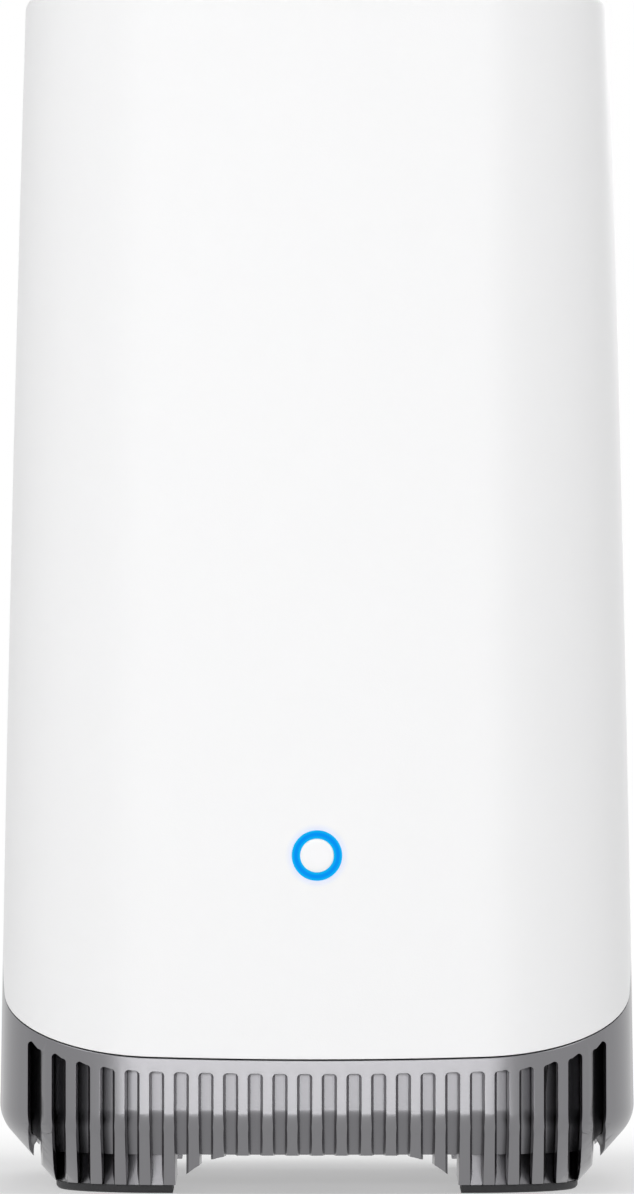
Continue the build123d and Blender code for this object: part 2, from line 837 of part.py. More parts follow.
# Drive cage: five sheet-metal plates round the bay, open downwards, with windows and four screw ears
with BuildPart() as drive_cage:
    with BuildSketch(Plane.XY.offset(frame_top)):
        with Locations((0, bay_y)):
            Rectangle(cage_width, cage_depth)
    extrude(amount=cage_top - frame_top)
    with BuildSketch(Plane.XY.offset(frame_top)):
        for x, y in cage_ears:
            with Locations((x, y)):
                Circle(cage_ear_radius)
            with Locations((x, (y + bay_y) / 2)):
                Rectangle(2 * cage_ear_radius, abs(y - bay_y))
    extrude(amount=cage_foot)
    with BuildSketch(Plane.XY.offset(frame_top)):
        with Locations((0, bay_y)):
            Rectangle(bay_width, bay_depth)
    extrude(amount=bay_length, mode=Mode.SUBTRACT)
    with BuildSketch(facing_front(cage_back_y)):
        with Locations((0, frame_top + bay_length / 2)):
            with GridLocations(cage_window_pitch, cage_window_rise, cage_window_columns, cage_window_rows):
                Rectangle(cage_window, cage_window_height)
    extrude(amount=cage_depth, mode=Mode.SUBTRACT)
    with BuildSketch(Plane.XY.offset(cage_top)):
        with Locations((0, bay_y)):
            Rectangle(cage_slot_width, cage_slot_depth)
    extrude(amount=-cage_wall, mode=Mode.SUBTRACT)
    holes(Plane.XY.offset(frame_top + cage_foot), cage_ears, screw_hole_radius, cage_foot)
    sata_screw_places = [(-sata_screw_x, bay_y), (sata_screw_x, bay_y)]
    holes(Plane.XY.offset(cage_top), sata_screw_places, pilot_radius, cage_wall)
    plate_seam = (bay_depth - cage_seam) / 2
    with BuildSketch(Plane.XY.offset(frame_top)):
        with Locations((0, bay_y - plate_seam), (0, bay_y + plate_seam)):
            Rectangle(cage_width, cage_seam)
    extrude(amount=cage_top - frame_top, mode=Mode.SUBTRACT)
    with BuildSketch(Plane.XY.offset(frame_top + bay_length)):
        with Locations((0, bay_y)):
            Rectangle(cage_width, bay_depth)
    extrude(amount=-cage_seam, mode=Mode.SUBTRACT)
drive_cage.part.label = "drive_cage"
export_step(drive_cage.part, "parts/drive_cage.step")

with BuildPart() as cage_screws:
    screws(
        Plane.XY.offset(frame_top + cage_foot),
        cage_ears,
        screw_radius,
        screw_reach + cage_foot - screw_hole_clearance,
        screw_head_radius,
        screw_head,
    )
cage_screws.part.label = "cage_screws"
export_step(cage_screws.part, "parts/cage_screws.step")

# Drive connector: a small board on the cage and the connector that hangs into the bay
with BuildPart() as sata_board:
    with BuildSketch(Plane.XY.offset(cage_top)):
        with Locations((0, bay_y)):
            Rectangle(sata_board_width, sata_board_depth)
        with Locations(*sata_screw_places):
            Circle(screw_hole_radius, mode=Mode.SUBTRACT)
    extrude(amount=sata_board_thickness)
sata_board.part.label = "sata_board"
export_step(sata_board.part, "parts/sata_board.step")

with BuildPart() as sata_connector:
    with BuildSketch(Plane.XY.offset(cage_top)):
        with Locations((0, bay_y)):
            Rectangle(sata_width, sata_depth)
    extrude(amount=-sata_reach)
    with BuildSketch(Plane.XY.offset(cage_top - sata_reach)):
        with Locations((0, bay_y)):
            Rectangle(sata_width - 2 * sata_slot_margin, sata_slot_width)
    extrude(amount=sata_slot_depth, mode=Mode.SUBTRACT)
sata_connector.part.label = "sata_connector"
export_step(sata_connector.part, "parts/sata_connector.step")

with BuildPart() as sata_screws:
    screws(
        Plane.XY.offset(cage_top + sata_board_thickness),
        sata_screw_places,
        screw_radius,
        sata_board_thickness + cage_wall,
        screw_head_radius,
        screw_head,
    )
sata_screws.part.label = "sata_screws"
export_step(sata_screws.part, "parts/sata_screws.step")

# Antenna carrier: an upright plate on two feet, with windows, and the two antennas on its front
with BuildPart() as antenna_carrier:
    with BuildSketch(facing_front(bay_y + carrier_thickness / 2)):
        with Locations((0, cage_top + sata_board_thickness + screw_head + carrier_foot)):
            Rectangle(carrier_width, carrier_height, align=(Align.CENTER, Align.MIN))
        with Locations((0, cage_top + carrier_height / 2 + carrier_window / 2)):
            with GridLocations(carrier_window_pitch, carrier_window_pitch, 2, 2):
                Rectangle(carrier_window, carrier_window, mode=Mode.SUBTRACT)
    extrude(amount=carrier_thickness)
    foot_x = (carrier_width - carrier_foot_width) / 2
    with BuildSketch(Plane.XY.offset(cage_top)):
        with Locations((-foot_x, bay_y), (foot_x, bay_y)):
            Rectangle(carrier_foot_width, carrier_foot_depth)
    extrude(amount=carrier_foot)
    with BuildSketch(Plane.XY.offset(cage_top)):
        with Locations((-foot_x, bay_y), (foot_x, bay_y)):
            Rectangle(carrier_foot_width, carrier_thickness)
    extrude(amount=sata_board_thickness + screw_head + 2 * carrier_foot)
antenna_carrier.part.label = "antenna_carrier"
export_step(antenna_carrier.part, "parts/antenna_carrier.step")

antenna_x = (carrier_width - antenna_width) / 2 - antenna_margin
antenna_z = cage_top + carrier_height - antenna_margin
for name, x in (("antenna_left", -antenna_x), ("antenna_right", antenna_x)):
    with BuildPart() as antenna:
        with BuildSketch(facing_front(bay_y - carrier_thickness / 2 - antenna_gap)):
            with Locations((x, antenna_z)):
                Rectangle(antenna_width, antenna_height, align=(Align.CENTER, Align.MAX))
        extrude(amount=antenna_thickness)
    antenna.part.label = name
    export_step(antenna.part, f"parts/{name}.step")

# Main board, its standoffs on the cage, and its screws
standoff_places = [(x, z) for x in (-standoff_x, standoff_x) for z in (standoff_low, standoff_high)]

with BuildPart() as main_board:
    with BuildSketch(facing_front(board_back_y)):
        with Locations((0, board_middle)):
            Rectangle(board_width, board_height)
        with Locations(*standoff_places):
            Circle(screw_hole_radius, mode=Mode.SUBTRACT)
    extrude(amount=board_thickness)
main_board.part.label = "main_board"
export_step(main_board.part, "parts/main_board.step")

with BuildPart() as board_standoffs:
    with BuildSketch(facing_front(board_y)):
        with Locations(*standoff_places):
            RegularPolygon(standoff_radius, 6)
    extrude(amount=board_y - cage_back_y)
    holes(facing_back(board_y), standoff_places, pilot_radius, screw_reach)
board_standoffs.part.label = "board_standoffs"
export_step(board_standoffs.part, "parts/board_standoffs.step")

with BuildPart() as board_screws:
    screws(
        facing_back(board_back_y),
        standoff_places,
        screw_radius,
        board_thickness + screw_reach - screw_hole_clearance,
        screw_head_radius,
        screw_head,
    )
board_screws.part.label = "board_screws"
export_step(board_screws.part, "parts/board_screws.step")

# Processor, memory and the shield over the radio, all on the back of the main board
with BuildPart() as processor:
    with BuildSketch(facing_front(board_back_y + processor_thickness)):
        with Locations((0, processor_z)):
            Rectangle(processor_size, processor_size)
    extrude(amount=processor_thickness)
processor.part.label = "processor"
export_step(processor.part, "parts/processor.step")

with BuildPart() as memory_chips:
    with BuildSketch(facing_front(board_back_y + memory_thickness)):
        with Locations((-memory_x, processor_z), (memory_x, processor_z)):
            Rectangle(memory_width, memory_height)
    extrude(amount=memory_thickness)
memory_chips.part.label = "memory_chips"
export_step(memory_chips.part, "parts/memory_chips.step")

with BuildPart() as radio_shield:
    with BuildSketch(facing_front(board_back_y + shield_thickness)):
        with Locations((0, shield_z)):
            Rectangle(shield_width, shield_height)
    extrude(amount=shield_thickness)
radio_shield.part.label = "radio_shield"
export_step(radio_shield.part, "parts/radio_shield.step")

# Heat sink on the processor, with fins that run upwards and a post in each corner for the fan screws
fan_hole_heights = (processor_z - fan_hole_offset, processor_z + fan_hole_offset)
fan_hole_places = [(x, z) for x in (-fan_hole_offset, fan_hole_offset) for z in fan_hole_heights]

with BuildPart() as heat_sink:
    with BuildSketch(facing_front(sink_y + sink_base)):
        with Locations((0, processor_z)):
            Rectangle(sink_size, sink_size)
    extrude(amount=sink_base)
    with BuildSketch(facing_front(sink_tip_y)):
        with Locations((0, processor_z)):
            with GridLocations(sink_fin_pitch, 0, sink_fin_count, 1):
                Rectangle(sink_fin_thickness, sink_size)
        with Locations(*fan_hole_places):
            Rectangle(
                2 * (sink_size / 2 - fan_hole_offset),
                2 * (sink_post_radius + sink_post_space),
                mode=Mode.SUBTRACT,
            )
            Circle(sink_post_radius)
    extrude(amount=sink_fin_height)
    holes(facing_back(sink_tip_y), fan_hole_places, fan_screw_radius + pilot_clearance, fan_screw_grip)
heat_sink.part.label = "heat_sink"
export_step(heat_sink.part, "parts/heat_sink.step")

# Fan: square frame with a strutted base and a shaft, and a rotor with seven pitched blades
with BuildPart() as fan_frame:
    with BuildSketch(facing_front(fan_back_y)):
        with Locations((0, processor_z)):
            RectangleRounded(fan_size, fan_size, fan_corner_radius)
            Circle(fan_bore_radius, mode=Mode.SUBTRACT)
        with Locations(*fan_hole_places):
            Circle(fan_screw_radius + screw_hole_clearance, mode=Mode.SUBTRACT)
    extrude(amount=fan_thickness)
    with BuildSketch(facing_front(sink_tip_y + fan_base_thickness)):
        with Locations((0, processor_z)):
            Circle(fan_base_radius)
            Rectangle(fan_size, fan_strut_width)
            Rectangle(fan_strut_width, fan_size)
            RectangleRounded(fan_size, fan_size, fan_corner_radius, mode=Mode.INTERSECT)
    extrude(amount=fan_base_thickness)
    with BuildSketch(facing_front(fan_back_y - fan_hub_recess)):
        with Locations((0, processor_z)):
            Circle(fan_shaft_radius)
    extrude(amount=fan_thickness - fan_hub_recess - fan_base_thickness)
fan_frame.part.label = "fan_frame"
export_step(fan_frame.part, "parts/fan_frame.step")

hub_low_y = sink_tip_y + fan_base_thickness + fan_hub_gap
hub_high_y = fan_back_y - fan_hub_recess
with BuildPart() as fan_rotor:
    with BuildSketch(facing_front(hub_high_y)):
        with Locations((0, processor_z)):
            Circle(fan_hub_radius)
    extrude(amount=hub_high_y - hub_low_y)
    for blade in range(fan_blade_count):
        turn = radians(360 * blade / fan_blade_count)
        outward = Vector(cos(turn), 0, sin(turn))
        across = Vector(-sin(turn), 0, cos(turn))
        lean = radians(fan_blade_pitch)
        chord = across * cos(lean) + Vector(0, 1, 0) * sin(lean)
        root = outward * (fan_hub_radius - fan_blade_root_sink)
        centre = Vector(0, (hub_low_y + hub_high_y) / 2, processor_z)
        with BuildSketch(Plane(origin=centre + root, x_dir=chord, z_dir=outward)):
            Rectangle(fan_blade_chord, fan_blade_thickness)
        extrude(amount=fan_blade_tip - fan_hub_radius + fan_blade_root_sink)
    with BuildSketch(facing_front(hub_high_y)):
        with Locations((0, processor_z)):
            Circle(fan_shaft_radius + fan_running_clearance)
    extrude(amount=hub_high_y - hub_low_y, mode=Mode.SUBTRACT)
fan_rotor.part.label = "fan_rotor"
export_step(fan_rotor.part, "parts/fan_rotor.step")

with BuildPart() as fan_screws:
    screws(
        facing_back(fan_back_y),
        fan_hole_places,
        fan_screw_radius,
        fan_thickness + fan_screw_grip - screw_hole_clearance,
        fan_screw_head_radius,
        fan_screw_head,
    )
fan_screws.part.label = "fan_screws"
export_step(fan_screws.part, "parts/fan_screws.step")

# Sockets: network jack with its contacts, USB receptacle and barrel power jack
with BuildPart() as ethernet_jack:
    with BuildSketch(facing_front(socket_face_y)):
        with Locations((ethernet_x, ethernet_z)):
            Rectangle(ethernet_width, ethernet_height)
    extrude(amount=socket_depth)
    with BuildSketch(facing_front(socket_face_y)):
        with Locations((ethernet_x, ethernet_z)):
            Rectangle(ethernet_mouth_width, ethernet_mouth_height)
            with Locations((0, -ethernet_mouth_height / 2)):
                Rectangle(
                    ethernet_latch_width, ethernet_latch_height, align=(Align.CENTER, Align.MAX)
                )
    extrude(amount=ethernet_mouth_depth, mode=Mode.SUBTRACT)
ethernet_jack.part.label = "ethernet_jack"
export_step(ethernet_jack.part, "parts/ethernet_jack.step")

with BuildPart() as ethernet_contacts:
    with BuildSketch(facing_front(socket_face_y - ethernet_contact_recess)):
        with Locations((ethernet_x, ethernet_z + ethernet_mouth_height / 2)):
            with GridLocations(ethernet_contact_pitch, 0, ethernet_contact_count, 1):
                Rectangle(
                    ethernet_contact_width, ethernet_contact_height, align=(Align.CENTER, Align.MAX)
                )
    extrude(amount=ethernet_mouth_depth - ethernet_contact_recess)
ethernet_contacts.part.label = "ethernet_contacts"
export_step(ethernet_contacts.part, "parts/ethernet_contacts.step")

with BuildPart() as usb_shell:
    with BuildSketch(facing_front(socket_face_y)):
        with Locations((usb_x, usb_z)):
            Rectangle(usb_width, usb_height)
    extrude(amount=socket_depth)
    with BuildSketch(facing_front(socket_face_y)):
        with Locations((usb_x, usb_z)):
            Rectangle(usb_width - 2 * usb_wall, usb_height - 2 * usb_wall)
    extrude(amount=usb_mouth_depth, mode=Mode.SUBTRACT)
usb_shell.part.label = "usb_shell"
export_step(usb_shell.part, "parts/usb_shell.step")

with BuildPart() as usb_tongue:
    with BuildSketch(facing_front(socket_face_y - usb_tongue_recess)):
        with Locations((usb_x, usb_z + usb_tongue_offset)):
            Rectangle(usb_tongue_width, usb_tongue_thickness)
    extrude(amount=usb_mouth_depth - usb_tongue_recess)
usb_tongue.part.label = "usb_tongue"
export_step(usb_tongue.part, "parts/usb_tongue.step")

with BuildPart() as power_jack:
    with BuildSketch(facing_front(socket_face_y)):
        with Locations((power_x, power_z)):
            Rectangle(power_width, power_height)
    extrude(amount=socket_depth)
    holes(facing_back(socket_face_y), [(-power_x, power_z)], power_mouth_radius, power_mouth_depth)
power_jack.part.label = "power_jack"
export_step(power_jack.part, "parts/power_jack.step")

with BuildPart() as power_pin:
    with BuildSketch(facing_front(socket_face_y - power_pin_recess)):
        with Locations((power_x, power_z)):
            Circle(power_pin_radius)
    extrude(amount=power_mouth_depth - power_pin_recess)
power_pin.part.label = "power_pin"
export_step(power_pin.part, "parts/power_pin.step")

# Port panel: a tray in the back of the base, with a flange inside the tub and holes for what it shows
with BuildPart() as port_panel:
    with BuildSketch(facing_front(half_width)):
        with Locations((0, panel_middle)):
            RectangleRounded(panel_width, panel_height, panel_corner_radius)
    extrude(amount=half_width - panel_back_y)
    add(leaning_body(panel_rim_sink, chamfer_edge_height), mode=Mode.INTERSECT)
    with BuildSketch(facing_front(half_width)):
        with Locations((0, panel_middle)):
            RectangleRounded(
                panel_width - 2 * panel_rim,
                panel_height - 2 * panel_rim,
                panel_corner_radius - panel_rim,
            )
    extrude(amount=half_width - panel_face_y, mode=Mode.SUBTRACT)
    with BuildSketch(facing_front(panel_back_y)):
        with Locations((0, panel_middle)):
            RectangleRounded(
                panel_width + 2 * panel_flange,
                panel_height + 2 * panel_flange,
                panel_corner_radius + panel_flange,
            )
            RectangleRounded(
                panel_width - 2 * panel_rim,
                panel_height - 2 * panel_rim,
                panel_corner_radius - panel_rim,
                mode=Mode.SUBTRACT,
            )
    extrude(amount=panel_flange_thickness)
    with BuildSketch(facing_front(half_width)):
        with Locations((ethernet_x, ethernet_z)):
            Rectangle(ethernet_width + 2 * socket_clearance, ethernet_height + 2 * socket_clearance)
        with Locations((usb_x, usb_z)):
            Rectangle(usb_width + 2 * socket_clearance, usb_height + 2 * socket_clearance)
        with Locations((power_x, power_z)):
            Rectangle(power_width + 2 * socket_clearance, power_height + 2 * socket_clearance)
        with Locations((button_x, button_z)):
            Circle(button_radius + button_clearance)
        with Locations((reset_x, button_z)):
            Circle(reset_hole_radius)
    extrude(amount=half_width - panel_back_y, mode=Mode.SUBTRACT)
port_panel.part.label = "port_panel"
export_step(port_panel.part, "parts/port_panel.step")

# Pairing button: a cap with a flange behind the panel and a stem to the plunger of its switch
switch_face_y = board_back_y + switch_height
plunger_tip_y = switch_face_y + plunger_proud
button_flange_y = panel_back_y - button_flange_gap
button_face_y = panel_face_y + button_proud

with BuildPart() as sync_button:
    for radius, back, front in (
        (button_radius, button_face_y, button_flange_y),
        (button_flange_radius, button_flange_y, button_flange_y - button_flange),
        (button_stem_radius, button_flange_y - button_flange, plunger_tip_y),
    ):
        with BuildSketch(facing_front(back)):
            with Locations((button_x, button_z)):
                Circle(radius)
        extrude(amount=back - front)
    fillet(sync_button.faces().sort_by(Axis.Y)[-1].edges(), button_edge_blend)
sync_button.part.label = "sync_button"
export_step(sync_button.part, "parts/sync_button.step")

with BuildPart() as sync_switch:
    with BuildSketch(facing_front(switch_face_y)):
        with Locations((button_x, button_z)):
            Rectangle(switch_size, switch_size)
    extrude(amount=switch_height)
    bore_radius = plunger_radius + plunger_clearance
    holes(facing_back(switch_face_y), [(-button_x, button_z)], bore_radius, switch_bore_depth)
sync_switch.part.label = "sync_switch"
export_step(sync_switch.part, "parts/sync_switch.step")

with BuildPart() as sync_plunger:
    with BuildSketch(facing_front(plunger_tip_y)):
        with Locations((button_x, button_z)):
            Circle(plunger_radius)
    extrude(amount=plunger_proud + plunger_sunk)
sync_plunger.part.label = "sync_plunger"
export_step(sync_plunger.part, "parts/sync_plunger.step")

# Reset: a long plunger that a pin reaches through the small hole in the panel, and its switch
reset_switch_face_y = board_back_y + reset_switch_height

with BuildPart() as reset_switch:
    with BuildSketch(facing_front(reset_switch_face_y)):
        with Locations((reset_x, button_z)):
            Rectangle(reset_switch_size, reset_switch_size)
    extrude(amount=reset_switch_height)
    bore_radius = reset_plunger_radius + plunger_clearance
    holes(facing_back(reset_switch_face_y), [(-reset_x, button_z)], bore_radius, reset_bore_depth)
reset_switch.part.label = "reset_switch"
export_step(reset_switch.part, "parts/reset_switch.step")

with BuildPart() as reset_plunger:
    with BuildSketch(facing_front(panel_back_y - reset_plunger_gap)):
        with Locations((reset_x, button_z)):
            Circle(reset_plunger_radius)
    extrude(amount=panel_back_y - reset_plunger_gap - reset_switch_face_y + reset_plunger_sunk)
reset_plunger.part.label = "reset_plunger"
export_step(reset_plunger.part, "parts/reset_plunger.step")

# Speaker: gasket, basket, cone and magnet, turned about one upright axis
speaker_low = floor_top + gasket_thickness
speaker_top = speaker_low + speaker_height
speaker_axis = Axis((0, speaker_y, 0), (0, 0, 1))
speaker_plane = Plane(origin=(0, speaker_y, 0), x_dir=(1, 0, 0), z_dir=(0, -1, 0))

with BuildPart() as speaker_gasket:
    with BuildSketch(Plane.XY.offset(floor_top)):
        with Locations((0, speaker_y)):
            Circle(speaker_radius)
            Circle(speaker_radius - gasket_width, mode=Mode.SUBTRACT)
    extrude(amount=gasket_thickness)
speaker_gasket.part.label = "speaker_gasket"
export_step(speaker_gasket.part, "parts/speaker_gasket.step")

with BuildPart() as speaker_basket:
    with BuildSketch(speaker_plane):
        with BuildLine():
            Polyline(
                (speaker_radius - speaker_flange_width, speaker_low),
                (speaker_radius, speaker_low),
                (speaker_radius, speaker_low + speaker_flange),
                (speaker_radius - speaker_wall, speaker_low + speaker_flange),
                (speaker_neck_radius, speaker_top),
                (0, speaker_top),
                (0, speaker_top - speaker_wall),
                (speaker_neck_radius - speaker_wall, speaker_top - speaker_wall),
                (speaker_radius - speaker_flange_width, speaker_low + speaker_flange),
                close=True,
            )
        make_face()
    revolve(axis=speaker_axis)
speaker_basket.part.label = "speaker_basket"
export_step(speaker_basket.part, "parts/speaker_basket.step")

with BuildPart() as speaker_cone:
    rim_level = speaker_low + cone_gap
    neck_level = rim_level + cone_rise
    with BuildSketch(speaker_plane):
        with BuildLine():
            Polyline(
                (cone_rim_radius, rim_level),
                (cone_rim_radius, rim_level + cone_thickness),
                (cone_neck_radius, neck_level + cone_thickness),
                (0, neck_level + cone_thickness),
                (0, neck_level),
                (cone_neck_radius, neck_level),
                close=True,
            )
        make_face()
    revolve(axis=speaker_axis)
speaker_cone.part.label = "speaker_cone"
export_step(speaker_cone.part, "parts/speaker_cone.step")

with BuildPart() as speaker_magnet:
    with BuildSketch(Plane.XY.offset(speaker_top)):
        with Locations((0, speaker_y)):
            Circle(magnet_radius)
    extrude(amount=magnet_height)
    fillet(speaker_magnet.faces().sort_by(Axis.Z)[-1].edges(), magnet_edge_blend)
speaker_magnet.part.label = "speaker_magnet"
export_step(speaker_magnet.part, "parts/speaker_magnet.step")
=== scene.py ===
"""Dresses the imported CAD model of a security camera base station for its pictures.

The sections follow the station as it is put together, from the cover down to the inside of the base.
The front faces -Y. The sizes of the station are in millimetres and are multiplied by mm where they are used;
the studio and the grain of the materials are in metres.
"""

from math import atan2, cos, pi, radians, sin, sqrt, tan

import bpy
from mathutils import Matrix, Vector


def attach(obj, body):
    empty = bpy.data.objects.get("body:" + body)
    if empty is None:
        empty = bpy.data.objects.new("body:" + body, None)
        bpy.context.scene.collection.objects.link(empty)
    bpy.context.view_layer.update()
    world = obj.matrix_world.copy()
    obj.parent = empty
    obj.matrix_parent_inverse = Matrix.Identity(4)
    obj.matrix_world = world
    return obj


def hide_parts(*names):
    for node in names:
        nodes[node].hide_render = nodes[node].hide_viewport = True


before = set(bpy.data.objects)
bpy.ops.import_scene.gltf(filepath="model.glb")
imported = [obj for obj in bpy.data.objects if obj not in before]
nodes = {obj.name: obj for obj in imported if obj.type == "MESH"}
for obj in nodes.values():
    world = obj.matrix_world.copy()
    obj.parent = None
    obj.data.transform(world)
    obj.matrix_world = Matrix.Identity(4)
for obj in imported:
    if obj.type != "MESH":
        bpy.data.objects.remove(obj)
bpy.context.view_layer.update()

bpy.ops.object.select_all(action="DESELECT")


# Camera and studio.
# The photograph was taken from straight in front, level and a little under the middle of the station, on a
# white floor that runs on without an edge. Five soft lamps light it: front, left, right, above and behind.
camera_place = (0.0, -1.812, 0.094)
camera_lens = 331.8
camera_rise = 0.0098
film_height = 36.0
camera_data = bpy.data.cameras.new("camera")
camera_data.lens = camera_lens
camera_data.sensor_fit = "VERTICAL"
camera_data.sensor_height = film_height
camera_data.shift_y = camera_rise
camera = bpy.data.objects.new("camera", camera_data)
camera.location = camera_place
camera.rotation_euler = (pi / 2, 0, 0)
bpy.context.scene.collection.objects.link(camera)
bpy.context.scene.camera = camera
bpy.context.scene.view_settings.view_transform = "Standard"


def lamp(name, place, aim, size, power):
    """A soft rectangular lamp at a place, turned to an aim point."""
    data = bpy.data.lights.new(name, "AREA")
    data.shape = "RECTANGLE"
    data.size, data.size_y = size
    data.energy = power
    made = bpy.data.objects.new(name, data)
    made.location = place
    made.rotation_euler = (Vector(aim) - Vector(place)).to_track_quat("-Z", "Y").to_euler()
    bpy.context.scene.collection.objects.link(made)


lamp("front_softbox", (-0.2, -2.3, 0.33), (0, 0, 0.09), (2.2, 0.6), 21.2)
lamp("left_softbox", (-1.6, -0.9, 1.4), (0, 0, 0.1), (1.0, 1.2), 17.5)
lamp("right_softbox", (1.7, -0.6, 1.3), (0, 0, 0.1), (0.9, 1.1), 13.5)
lamp("top_softbox", (0.0, 0.2, 2.0), (0, 0, 0.1), (1.6, 1.6), 6.0)
lamp("back_softbox", (0.5, 2.2, 0.9), (0, 0, 0.1), (1.5, 1.2), 19.0)


class Wire:
    """A socket of a material, on which sums in Python add Math nodes."""

    def __init__(self, finish, socket):
        self.finish = finish
        self.socket = socket

    def sum(self, operation, *values):
        return self.finish.node("ShaderNodeMath", {"operation": operation}, dict(enumerate(values)))

    def __add__(self, other):
        return self.sum("ADD", self, other)

    def __sub__(self, other):
        return self.sum("SUBTRACT", self, other)

    def __rsub__(self, other):
        return self.sum("SUBTRACT", other, self)

    def __mul__(self, other):
        return self.sum("MULTIPLY", self, other)

    def __abs__(self):
        return self.sum("ABSOLUTE", self)

    __radd__ = __add__
    __rmul__ = __mul__


class Finish:
    """A material in the making: one Principled shader and the nodes that vary it over the surface."""

    def __init__(self, name, **settings):
        self.material = bpy.data.materials.new(name)
        self.material.use_nodes = True
        self.tree = self.material.node_tree
        self.shader = self.tree.nodes["Principled BSDF"]
        self.out = self.tree.nodes["Material Output"]
        for socket, value in settings.items():
            self.put(socket.replace("_", " "), value)

    def put(self, socket, value):
        """Sets a socket of the shader, or links a wire to it."""
        self.join(self.shader.inputs[socket], value)

    def join(self, socket, value):
        """Links a wire to a socket, or sets the socket to a number or a colour."""
        if isinstance(value, Wire):
            self.tree.links.new(value.socket, socket)
        elif socket.type == "RGBA" and len(value) == 3:
            socket.default_value = (*value, 1.0)
        else:
            socket.default_value = value

    def node(self, kind, settings, inputs, output=0):
        """Adds a node, sets it up, joins its inputs and gives one of its outputs."""
        made = self.tree.nodes.new(kind)
        for name, value in settings.items():
            setattr(made, name, value)
        for name, value in inputs.items():
            self.join(made.inputs[name], value)
        return Wire(self, made.outputs[output])

    def place(self, scale=(1.0, 1.0, 1.0), move=(0.0, 0.0, 0.0)):
        """Object coordinates, stretched for a grain and moved to a centre."""
        where = self.node("ShaderNodeTexCoord", {}, {}, "Object")
        return self.node("ShaderNodeMapping", {}, {"Vector": where, "Scale": scale, "Location": move})

    def noise(self, size, detail=2.0, where=None):
        """Noise whose grains are about the given size."""
        where = where or self.place()
        return self.node("ShaderNodeTexNoise", {}, {"Vector": where, "Scale": 1 / size, "Detail": detail})

    def fade(self, value, low, high, start=0.0, end=1.0):
        """Value spread smoothly from low..high to start..end, and held beyond."""
        settings = {"interpolation_type": "SMOOTHSTEP"}
        ends = {"From Min": low, "From Max": high, "To Min": start, "To Max": end}
        return self.node("ShaderNodeMapRange", settings, {"Value": value, **ends})

    def mix(self, share, first, second):
        """A colour between two colours."""
        return self.node("ShaderNodeMix", {"data_type": "RGBA"}, {0: share, 6: first, 7: second}, 2)

    def emboss(self, height, depth):
        """Raises the surface by a height pattern, depth metres from its lowest to its highest."""
        self.put("Normal", self.node("ShaderNodeBump", {}, {"Height": height, "Distance": depth}))

    def wear(self, colour, strength, size, roughness, change=0.08):
        """The usual slight cloud in colour and gloss that keeps a moulding from looking flat."""
        cloud = self.noise(size, 3.0)
        darker = tuple(c * (1 - strength) for c in colour)
        lighter = tuple(min(1.0, c * (1 + strength)) for c in colour)
        self.put("Base Color", self.mix(cloud, darker, lighter))
        self.put("Roughness", cloud * change + (roughness - change / 2))


floor_darker, floor_lighter = (0.86, 0.86, 0.865), (0.88, 0.88, 0.885)
floor_size = 24.0
glow_near, glow_far = 0.06, 0.2
glow_least = 0.42
floor_finish = Finish("studio_floor", Roughness=0.9, Specular_IOR_Level=0.1)
floor_finish.put("Base Color", floor_finish.mix(floor_finish.noise(0.4), floor_darker, floor_lighter))
ray_names = ("Is Camera Ray", "Is Glossy Ray", "Is Transmission Ray")
seen, glossy, through = (floor_finish.node("ShaderNodeLightPath", {}, {}, kind) for kind in ray_names)
mirrored = floor_finish.node("ShaderNodeMath", {"operation": "MAXIMUM"}, {0: glossy, 1: through})
away = floor_finish.node("ShaderNodeVectorMath", {"operation": "LENGTH"}, {0: floor_finish.place()}, "Value")
glow = floor_finish.node("ShaderNodeEmission", {}, {"Color": (1.0, 1.0, 1.0), "Strength": 1.0})
share = floor_finish.fade(away, glow_near, glow_far, glow_least) * seen + mirrored
blend = floor_finish.node("ShaderNodeMixShader", {}, {
    0: share, 1: Wire(floor_finish, floor_finish.shader.outputs[0]), 2: glow,
})
floor_finish.join(floor_finish.out.inputs["Surface"], blend)
bpy.ops.mesh.primitive_plane_add(size=floor_size, location=(0, 0, 0))
floor = bpy.context.object
floor.name = "studio_floor"
floor.data.materials.append(floor_finish.material)

world = bpy.data.worlds.new("studio_air")
bpy.context.scene.world = world
world.use_nodes = True
air = world.node_tree
paths = air.nodes.new("ShaderNodeLightPath")
air_light, seen_light = 0.17, 1.0
strength = None
for ray in ray_names:
    level = air.nodes.new("ShaderNodeMapRange")
    air.links.new(paths.outputs[ray], level.inputs["Value"])
    level.inputs["To Min"].default_value = air_light
    level.inputs["To Max"].default_value = seen_light
    if strength:
        air.links.new(strength, level.inputs["To Min"])
    strength = level.outputs["Result"]
air.nodes["Background"].inputs["Color"].default_value = (1.0, 1.0, 1.0, 1.0)
air.links.new(strength, air.nodes["Background"].inputs["Strength"])


# Cover.
# One white moulding with a fine satin surface: a rounded square with bowed faces whose walls lean in as they
# rise, a small round at the top edge, and a lower rim that follows the tilted parting plane. A hole in the
# front takes the status light.
mm = 0.001
half_width = 52.0
corner_radius = 26.0
bow_radius = 370.0
bow_centre = bow_radius - half_width
corner_centre = (sqrt(2 * (bow_radius - corner_radius) ** 2 - bow_centre**2) - bow_centre) / 2
half_face = atan2(corner_centre, corner_centre + bow_centre)
height = 193.0
lean_foot = 11.0
lean_top = 4.2
lean_pull = 1.44
parting_tilt = radians(21.0)
parting_front = 21.6
parting_gap = 0.25
cover_low = 12.0
cover_wall = 2.2
top_blend = 1.2
light_height = 54.5
light_hole = 4.05
face_steps, corner_steps = 28, 26


